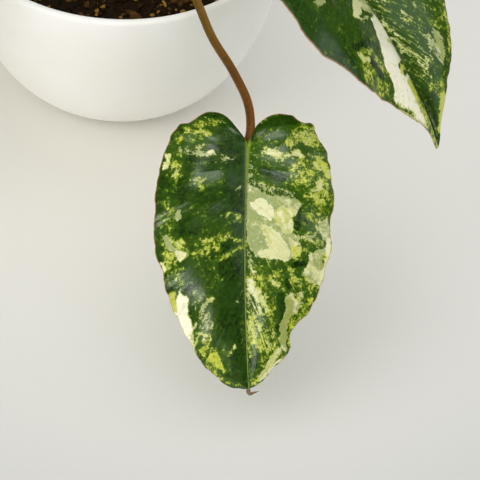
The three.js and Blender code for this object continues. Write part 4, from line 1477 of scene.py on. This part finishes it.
def relief(leaf, u, vein, flat):
    """How far the middle surface rises over the plain shape, in millimetres."""
    fade = np.clip(np.sin(math.pi * np.clip(vein, 0, 1)), 0, 1) ** 0.5
    swell = 0.5 - 0.5 * np.cos(FULL_TURN * LATERAL_VEINS * vein)
    across = np.sin(math.pi * np.clip(np.abs(u), 0, 1)) ** 0.8
    quilt = QUILT_HEIGHT * fade * across * (swell**0.5 - 0.6)
    wide, long = BUCKLE_SIZE
    values = [noise.noise(Vector((p[0] / wide, p[1] / long, leaf["length"]))) for p in flat]
    return quilt + BUCKLE_HEIGHT * fade * np.array(values)


def vein_places(name, leaf, u, flat):
    """Each point's way along its vein, the vein's start on the rib, and a number for the leaf's half."""
    across = np.abs(flat[:, 0])
    lean = VEIN_LEAN / leaf["length"]
    start = (flat[:, 1] - VEIN_START_LEAN * across) / (1 + lean * across)
    slope = VEIN_START_LEAN + lean * start
    return np.c_[across * np.sqrt(1 + slope**2), start, np.sign(u) * 40 + 10 * len(name)]


def flat_sheet(name, columns, rows):
    """A grid primitive from -1 to 1 both ways, and where its points lie."""
    select_only()
    bpy.ops.mesh.primitive_grid_add(x_subdivisions=columns, y_subdivisions=rows, size=2)
    sheet = bpy.context.object
    sheet.name = name
    sheet.data.uv_layers.remove(sheet.data.uv_layers[0])
    return sheet, read_points(sheet)


print("lateral veins on each half:", LATERAL_VEINS)

# %% Skins
BLADE_MIDDLE = 0.62  # thickness near the midrib, mm
BLADE_MARGIN = 0.36
RIB_DEPTH = 1.1
RIB_HALF_WIDTH = 2.0
GROOVE_DEPTH = 0.42
GROOVE_HALF_WIDTH = 0.85


def add_skins(blade, leaf):
    """Gives the sheet an upper and a lower skin, joined round the margin."""
    if read_normals(blade).mean(axis=0) @ leaf_axes(leaf)[2] < 0:
        with edit_mode(blade):
            bpy.ops.mesh.flip_normals()
    normals = read_normals(blade)
    middle = read_points(blade) + normals * (read_attribute(blade, "rise") * MM)[:, None]
    from_rib = read_attribute(blade, "from_rib")
    from_margin = read_attribute(blade, "from_margin")
    to_tip = read_attribute(blade, "to_tip")
    body = np.clip(from_margin / 6, 0, 1)
    half = (BLADE_MARGIN + (BLADE_MIDDLE - BLADE_MARGIN) * body) / 2
    groove_width = GROOVE_HALF_WIDTH * (1 - 0.5 * to_tip)
    groove = GROOVE_DEPTH * (1 - 0.6 * to_tip) * np.exp(-((from_rib / groove_width) ** 2))
    groove *= np.clip((1 - to_tip) * 20, 0, 1)
    arch = np.sqrt(np.clip(1 - (from_rib / (RIB_HALF_WIDTH * (1 - 0.6 * to_tip))) ** 2, 0, 1))
    rib = RIB_DEPTH * (1 - to_tip) * arch * np.clip(from_margin / 2, 0, 1)
    top = middle + normals * (half - groove)[:, None] * MM
    back = middle - normals * (half + rib)[:, None] * MM
    give_thickness(blade, 0.2 * MM)
    write_points(blade, np.vstack([top, back]))
    write_attribute(blade, "underside", np.repeat([0, 1], len(middle)))
    blade.data.attributes.remove(blade.data.attributes["rise"])
    smooth_sides(blade, 50)


def build_blade(name, leaf):
    rows, columns = leaf["grid"]
    blade, grid = flat_sheet("blade_" + name, 2 * columns, rows)
    u = np.sign(grid[:, 0]) * np.abs(grid[:, 0]) ** COLUMN_POWER
    vein = (1 - grid[:, 1]) / 2
    places, flat, margin = wrap_blade(leaf, u, vein)
    write_points(blade, places * MM)
    painted = painted_layers(name, u, vein, flat)
    stored = dict(zip(("upper_pale", "deep_pale", "yellow", "streaks"), painted.T))
    stored |= {
        "from_rib": np.abs(flat[:, 0]),
        "from_margin": (1 - np.abs(u)) * np.linalg.norm(margin, axis=1).clip(1, 34),
        "to_tip": np.clip(flat[:, 1] / leaf["length"], 0, 1),
        "flat_place": np.c_[flat, np.full(len(u), 10.0 * len(name))],
        "vein_place": vein_places(name, leaf, u, flat),
        "rise": relief(leaf, u, vein, flat),
    }
    for label, values in stored.items():
        write_attribute(blade, label, values)
    with edit_mode(blade):
        bpy.ops.mesh.remove_doubles(threshold=0.002 * MM)
    add_skins(blade, leaf)
    return blade


for name, leaf in LEAVES.items():
    leaf["piece"] = build_blade(name, leaf)
    print(leaf["piece"].name, "has", len(leaf["piece"].data.polygons), "faces")

# %% [markdown]
# ## Marbling: the painted layers become flecks
#
# The painted numbers are soft. The finish compares each one with a pattern. It is made of small and
# larger cells, like the fields between a leaf's finest veins, and of blotches a few millimetres wide.
# Where streaks are painted, cells that are drawn out along the lateral veins take their place. Where
# the paint is stronger than the pattern, the tissue is pale. So a half strength gives flecks, and the
# edge of a solid patch comes out ragged. A third pattern, which isn't painted, gives every tissue
# lighter and darker spots, because no part of a leaf has one flat colour. A little paint on the deep
# layer is not enough for flecks, but it makes the green fresher.

# %% Cells, blotches and streaks
SMALL_CELLS = 0.52  # mm, as are the sizes below
LARGE_CELLS = 0.95
BLOTCH_SIZE = 2.0
STREAK_SIZE = 0.75
STREAK_STRETCH = 0.24  # the width of a streak as a share of its length

marbling, taken, given = new_group(
    "leaf marbling",
    {"Flat place": "Vector", "Vein place": "Vector"}
    | dict.fromkeys(("Upper", "Deep", "Yellow", "Streaks"), "Float"),
    {"Color": "Color", "Pale": "Float", "Height": "Float"},
)
wobble = marbling.noise(taken["Flat place"], 1.4, 3.0)["Color"]


def cells(place, size):
    return marbling.add("TexVoronoi", {"Vector": place, "Scale": 1 / size})


def wobbled(place, reach):
    return marbling.vectors("MULTIPLY_ADD", wobble, (reach, reach, 0.0), place)[0]


flat_place = wobbled(taken["Flat place"], 1.6)
vein_place = wobbled(taken["Vein place"], 1.2)
along_vein = marbling.vectors("MULTIPLY", vein_place, (STREAK_STRETCH, 1.0, 1.0))[0]
patterns = {
    "small": cells(flat_place, SMALL_CELLS),
    "large": cells(flat_place, LARGE_CELLS),
    "blotch": marbling.noise(flat_place, 1 / BLOTCH_SIZE, 3.0),
    "streak": marbling.noise(along_vein, 0.5 / STREAK_SIZE, 4.0),
    "drawn": cells(along_vein, STREAK_SIZE),
}
channels = {}
for label, outputs in patterns.items():
    channels[label] = marbling.add("SeparateColor", {0: outputs["Color"]})
print("patterns:", ", ".join(patterns))

# %% How pale each layer is
DEEP_IN_UPPER = 0.45  # the upper layer's flecks lie partly over the deep layer's
VEIN_SPACING = 3.9


def weigh(channel, **shares):
    """Adds up one channel of some patterns by their shares. Noise is first spread out to 0 and 1."""
    total = 0.0
    for label, share in shares.items():
        value = channels[label][channel]
        if label in ("blotch", "streak"):
            value = marbling.step(value, 0.3, 0.7)
        total = marbling.times(value, share, plus=total)
    return total


def layer_pattern(channel):
    """A pattern from 0 to 1 for one layer: flecks, or streaks where they are painted."""
    flecks = weigh(channel, small=0.3, large=0.3, blotch=0.4)
    streaks = weigh(channel, small=0.3, drawn=0.34, streak=0.36)
    both = marbling.times(marbling.sums("SUBTRACT", streaks, flecks), taken["Streaks"], plus=flecks)
    return marbling.step(both, 0.14, 0.86, shape="LINEAR")


def lead(painted, pattern):
    """How far the painted number is ahead of the pattern: above 0 the layer is pale there.

    The number is stretched first, so that a painted 0 or 1 leaves no flecks at all."""
    return marbling.sums("SUBTRACT", marbling.times(painted, 1.2, plus=-0.1), pattern)


deep_pattern = layer_pattern("Green")
own_pattern = marbling.times(layer_pattern("Red"), 1 - DEEP_IN_UPPER)
upper_pattern = marbling.times(deep_pattern, DEEP_IN_UPPER, plus=own_pattern)
deep_lead = lead(taken["Deep"], deep_pattern)
upper_lead = lead(taken["Upper"], upper_pattern)
upper_pale = marbling.step(upper_lead, -0.04, 0.04)
spots = marbling.step(layer_pattern("Blue"), 0.25, 0.75)
broad_tone = marbling.step(marbling.noise(taken["Flat place"], 0.11, 2.0)["Fac"], 0.38, 0.62)

vein_row = marbling.add("SeparateXYZ", {0: taken["Vein place"]})["Y"]
vein_cycle = marbling.sums("FRACT", marbling.sums("DIVIDE", vein_row, VEIN_SPACING))
vein_side = marbling.sums("ABSOLUTE", marbling.sums("SUBTRACT", vein_cycle, 0.5))
vein_line = marbling.step(vein_side, 0.38, 0.5)
print("nodes so far:", len(marbling.tree.nodes))

# %% The colours of the four tissues
tint = marbling.mix
yellow = taken["Yellow"]

dark_green = tint(broad_tone, srgb(12, 36, 0), srgb(27, 58, 0))
mid_green = tint(broad_tone, srgb(68, 102, 2), srgb(62, 94, 18))
green = tint(marbling.times(spots, 0.28), dark_green, mid_green)
fresh_share = marbling.times(marbling.step(taken["Deep"], 0.08, 0.3), 0.42)
green = tint(fresh_share, green, mid_green)
green = tint(marbling.step(deep_lead, -0.28, -0.02), green, mid_green)
green = tint(marbling.times(vein_line, 0.2), green, srgb(60, 94, 26))

lime = tint(yellow, srgb(108, 132, 36), srgb(124, 142, 4))
bright_lime = tint(yellow, srgb(202, 208, 130), srgb(194, 200, 52))
lime = tint(marbling.step(deep_lead, 0.03, 0.3), lime, bright_lime)
lime = tint(marbling.times(spots, 0.3), lime, srgb(88, 116, 14))

sage = tint(yellow, srgb(142, 156, 100), srgb(140, 150, 60))
sage = tint(marbling.times(spots, 0.4), sage, srgb(170, 180, 118))

cream = tint(yellow, srgb(251, 246, 228), srgb(174, 181, 66))
cream = tint(marbling.times(spots, 0.3), cream, srgb(228, 224, 180))
cream = tint(marbling.step(upper_lead, 0.0, 0.5), srgb(186, 192, 104), cream)

green_above = tint(marbling.step(deep_lead, -0.03, 0.04), green, lime)
pale_above = tint(marbling.step(deep_lead, -0.3, 0.35), sage, cream)
pale_above = tint(marbling.times(vein_line, 0.14), pale_above, srgb(120, 146, 60))
marbling.plug(given["Color"], tint(upper_pale, green_above, pale_above))
marbling.plug(given["Pale"], upper_pale)
height = marbling.times(patterns["small"]["Distance"], 0.5, plus=patterns["streak"]["Fac"])
marbling.plug(given["Height"], marbling.times(vein_line, -0.35, plus=height))
print("group:", marbling.tree.name)

# %% [markdown]
# The leaf's skin adds what lies over the marbling: the pale midrib, the thin pinkish margin, and a
# duller, greyer underside. It is waxy rather than glossy, so its reflections are soft and follow the
# swell between the veins.

# %% Leaf skin
leaf_finish, recipe = new_material("marbled leaf")
marble = recipe.use(
    marbling,
    Flat_place=recipe.attribute("flat_place", "Vector"),
    Vein_place=recipe.attribute("vein_place", "Vector"),
    Upper=recipe.attribute("upper_pale"),
    Deep=recipe.attribute("deep_pale"),
    Yellow=recipe.attribute("yellow"),
    Streaks=recipe.attribute("streaks"),
)
to_tip = recipe.attribute("to_tip")
from_rib = recipe.attribute("from_rib")
to_stalk = recipe.sums("SUBTRACT", 1.0, to_tip)
rib_width = recipe.times(recipe.sums("POWER", to_stalk, 4.0), 1.1, plus=0.34)
rib_share = recipe.times(recipe.step(recipe.sums("DIVIDE", from_rib, rib_width), 1.0, 0.3), 0.78)
rib_colour = recipe.mix(to_tip, srgb(62, 88, 12), srgb(130, 150, 78))
rib_colour = recipe.mix(recipe.step(to_tip, 0.3, 0.0), rib_colour, srgb(126, 150, 40))
colour = recipe.mix(rib_share, marble["Color"], rib_colour)
rib_light = recipe.times(recipe.step(from_rib, 0.3, 0.05), recipe.times(to_tip, 0.4, plus=0.02))
colour = recipe.mix(rib_light, colour, srgb(186, 196, 132))
margin_share = recipe.times(recipe.step(recipe.attribute("from_margin"), 0.45, 0.08), 0.75)
colour = recipe.mix(margin_share, colour, srgb(176, 126, 94))
underside = recipe.attribute("underside")
colour = recipe.mix(underside, colour, recipe.mix(0.42, colour, srgb(120, 148, 70)))
rough = recipe.times(underside, 0.25, plus=recipe.times(marble["Pale"], 0.05, plus=0.23))
recipe.finish(colour, rough, (0.5, 0.09, marble["Height"]))
for leaf in LEAVES.values():
    leaf["piece"].data.materials.append(leaf_finish)
print("finish:", leaf_finish.name)

# %% [markdown]
# The very end of the front leaf has dried into a small brown wisp that curls to one side. It is a
# short tapering tube that is joined to the blade.

# %% Dry tip
WISP_STEPS = [(0, 0.2, 0.2), (0.2, -0.9, -1.0), (0.8, -1.1, -1.5), (2.2, -0.8, -0.9), (4.0, -0.5, -0.2)]
WISP_RADII = np.array([0.35, 0.7, 0.8, 0.8, 0.75, 0.7, 0.62, 0.55, 0.46, 0.38, 0.3, 0.22, 0.15, 0.06])

dry_finish, recipe = new_material("dry tip")
papery = uneven_skin(recipe, 1.0, 0.2)
recipe.finish(recipe.mix(papery["Fine"], srgb(92, 72, 50), srgb(138, 114, 86)), 0.8)

front = LEAVES["front"]
tip = wrap_blade(front, np.array([0.0]), np.array([1.0]))[0]
wisp_line = curve_through(tip + np.array(WISP_STEPS), len(WISP_RADII))
wisp = draw_tube("wisp", wisp_line, WISP_RADII, 2)
wisp.data.materials.append(dry_finish)
smooth_sides(wisp, 60)
front["piece"] = join_pieces(front["piece"], wisp)
print("front blade has materials:", [m.name for m in front["piece"].data.materials])

# %% [markdown]
# ## Stalks
#
# Each stalk clasps its stem with a slight flare, rises, arches over and meets the back of its blade
# in the notch, where it swells into the joint that turns the leaf to the light. Its colour goes from
# olive at the stem to red-brown at the leaf. The side that faces the window gets painted light over
# the tan that a stalk takes in the sun, and the far side gets painted shade.

# %% Draw the stalks
STALK_RADIUS = 1.65
STALK_FLARE = 0.35
FLARE_FADE = 14
JOINT_SWELLING = 0.12
JOINT_FROM_END = 2.5
JOINT_HALF_LENGTH = 3.5
SEAT_DEPTH = 1.05  # how far under the blade's middle the stalk ends
STALK_STEPS = 90
LEAVE_RISE = (0.62, 0.78)  # how a stalk leaves its stem: outwards and upwards
LEAVE_REACH = 0.42  # how long it keeps that way, as a share of its span
ARRIVE_WAY = (0.8, 0.6)  # how it reaches its blade: along the midrib and upwards
ARRIVE_REACH = 0.34


def stalk_line(leaf):
    """The middle line of a stalk, in millimetres."""
    start = STEMS[leaf["stem"]]["line"][int(round(leaf["node"] * (STEM_STEPS - 1)))]
    _, along, up = leaf_axes(leaf)
    joint = leaf["joint"]
    if leaf["via"]:
        end = joint - up * (SEAT_DEPTH + STALK_RADIUS)
        return curve_through([start, *leaf["via"], end], STALK_STEPS)
    span = np.linalg.norm(joint - start)
    outward = (joint - start) * np.array([1, 1, 0])
    outward = outward / np.linalg.norm(outward)
    rising = outward * LEAVE_RISE[0] + np.array([0, 0, LEAVE_RISE[1]])
    first = start + rising * span * LEAVE_REACH
    second = joint - (along * ARRIVE_WAY[0] + up * ARRIVE_WAY[1]) * span * ARRIVE_REACH
    t = np.linspace(0, 1, 200)[:, None]
    line = (1 - t) ** 3 * start + 3 * t * (1 - t) ** 2 * first + 3 * t**2 * (1 - t) * second + t**3 * joint
    below = (line - joint + up * SEAT_DEPTH) @ up
    keep = np.argmax((below > -0.4) & (t[:, 0] > 0.5)) or len(line)
    return space_evenly(line[:keep], STALK_STEPS)


def build_stalk(name, line, radii, roundness):
    stalk = draw_tube("stalk_" + name + "_skin", line, radii, roundness)
    mark_along(stalk, line)
    smooth_sides(stalk, 60)
    return stalk


for name, leaf in LEAVES.items():
    line = stalk_line(leaf)
    t = np.linspace(0, 1, STALK_STEPS)
    from_end = (1 - t) * np.linalg.norm(np.diff(line, axis=0), axis=1).sum()
    radii = STALK_RADIUS * (1 + STALK_FLARE * np.exp(-FLARE_FADE * t))
    radii = radii + JOINT_SWELLING * np.exp(-((from_end - JOINT_FROM_END) / JOINT_HALF_LENGTH) ** 2)
    radii = radii * np.clip((from_end + 0.25) / 0.9, 0.3, 1) ** 0.5
    leaf["stalk"] = build_stalk(name, line, radii, 6)
print("stalks:", len(LEAVES))

# %% Stalk skin
# A stalk's side that faces this way gets painted light over its tan, and the far side gets painted shade.
WINDOW_WAY = np.array([0.93, 0.2, 0.3])

stalk_finish, recipe = new_material("stalk skin")
skin_marks = uneven_skin(recipe, 9.0, 0.8)
turned_red = recipe.step(recipe.attribute("along"), 0.35, 0.95)
# Painted shade for the far side, and painted light with the tan for the side towards the window.
painted_shade = recipe.mix(turned_red, srgb(66, 60, 0), srgb(78, 42, 0))
tan_and_painted_light = recipe.mix(turned_red, srgb(150, 112, 44), srgb(132, 76, 26))
tan_and_light_share = recipe.times(recipe.step(recipe.attribute("lit_and_tan_side"), 0.35, 0.95), 0.8)
tan_and_light_share = recipe.times(skin_marks["Broad"], 0.2, plus=tan_and_light_share)
colour = recipe.mix(tan_and_light_share, painted_shade, tan_and_painted_light)
colour = recipe.mix(recipe.times(skin_marks["Fine"], 0.15), colour, srgb(156, 116, 48))
recipe.finish(colour, 0.42, (0.3, 0.08, skin_marks["Height"]), gloss=0.25)
for leaf in LEAVES.values():
    facing = read_normals(leaf["stalk"]) @ WINDOW_WAY
    write_attribute(leaf["stalk"], "lit_and_tan_side", np.clip(facing * 0.5 + 0.5, 0, 1))
    leaf["stalk"].data.materials.append(stalk_finish)
print("finish:", stalk_finish.name)

# %% [markdown]
# ## The rolled leaf
#
# The youngest leaf still stands rolled up like an umbrella at the end of the tall stem, on a short
# stalk. A grid is wound round a line for one and two thirds turns, wider where the spear is thick, so
# that its loose edge runs down it as a seam. It is thin and pale, with the first hints of marbling.

# %% Wind up the spear
SPEAR_STALK = [(-4, 4, 172.5), (-5, 4.5, 186), (-7, 5, 200)]
SPEAR_STALK_RADII = np.r_[np.linspace(2.2, 1.5, 6), np.full(28, 1.5), np.linspace(1.5, 2.4, 6)]
SPEAR = [(-7, 5, 200.35), (-9.5, 6, 216), (-13, 8, 238), (-19, 11, 262)]
SPEAR_RADIUS = 3.3
SPEAR_TURNS = 1.66
SPEAR_ROWS = 150
SPEAR_COLUMNS = 90


def spear_radius(t, wound):
    """Thick in the middle, closed at both ends, and a little wider with each turn."""
    swell = np.clip(np.sin(math.pi * (0.16 + 0.84 * t) ** 0.8), 0, 1)
    ends = np.clip(t / 0.05, 0.25, 1) ** 0.5 * np.clip((1 - t) / 0.06, 0.12, 1) ** 0.7
    return (0.5 + SPEAR_RADIUS * swell**0.8) * (0.72 + 0.26 * wound) * ends


def build_spear():
    line = curve_through(SPEAR, SPEAR_ROWS + 1)
    tangents = np.gradient(line, axis=0)
    tangents /= np.linalg.norm(tangents, axis=1)[:, None]
    first = np.cross(tangents, [0, 1, 0])
    first /= np.linalg.norm(first, axis=1)[:, None]
    second = np.cross(tangents, first)
    spear, grid = flat_sheet("young_leaf", SPEAR_COLUMNS, SPEAR_ROWS)
    wound, t = ((grid[:, :2] + 1) / 2).T
    row = np.clip(np.round(t * SPEAR_ROWS).astype(int), 0, SPEAR_ROWS)
    turn = FULL_TURN * SPEAR_TURNS * wound + 0.9 * t
    swing = first[row] * np.cos(turn)[:, None] + second[row] * np.sin(turn)[:, None]
    write_points(spear, (line[row] + swing * spear_radius(t, wound)[:, None]) * MM)
    write_attribute(spear, "wound", wound)
    write_attribute(spear, "to_tip", t)
    write_attribute(spear, "flat_place", np.c_[wound * 34, t * 60, np.full(len(t), 77.0)])
    give_thickness(spear, 0.3 * MM, offset=0)
    smooth_sides(spear, 50)
    return spear


spear = build_spear()
spear_line = curve_through(SPEAR_STALK, len(SPEAR_STALK_RADII))
spear_stalk = build_stalk("rolled", spear_line, SPEAR_STALK_RADII, 5)
spear_stalk.data.materials.append(stalk_finish)
print("the spear is", round(spear.dimensions.z / MM), "mm high")

# %% Young leaf skin
young_finish, recipe = new_material("young leaf")
place = recipe.attribute("flat_place", "Vector")
hints = {"Upper": 0.42, "Deep": 0.6, "Yellow": 0.8, "Streaks": 0.6}
flecks = recipe.use(marbling, Flat_place=place, Vein_place=place, **hints)
colour = recipe.mix(0.55, flecks["Color"], srgb(158, 180, 84))
seam = recipe.step(recipe.attribute("wound"), 0.985, 0.996)
recipe.finish(recipe.mix(recipe.times(seam, 0.7), colour, srgb(176, 128, 100)), 0.4)
spear.data.materials.append(young_finish)
print("finish:", young_finish.name)

# %% [markdown]
# ## Hand the pieces to the frame
#
# Every piece rides on the object's one body and takes the place of the solid that it stands for,
# which is hidden.

# %% Ride and replace


def hand_over(piece, node):
    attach(piece, "root")
    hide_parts(node)


hand_over(pot, "pot")
hand_over(soil, "soil")
for name, stem in STEMS.items():
    hand_over(stem["piece"], name)
for name, leaf in LEAVES.items():
    hand_over(leaf["stalk"], "stalk_" + name)
    hand_over(leaf["piece"], "leaf_" + name)
hand_over(spear_stalk, "stalk_rolled")
hand_over(spear, "leaf_rolled")

total = 0
for piece in bpy.data.objects:
    if piece.type == "MESH" and not piece.hide_render and piece is not floor:
        total += sum(len(face.vertices) - 2 for face in piece.data.polygons)
print("triangles in all:", total)
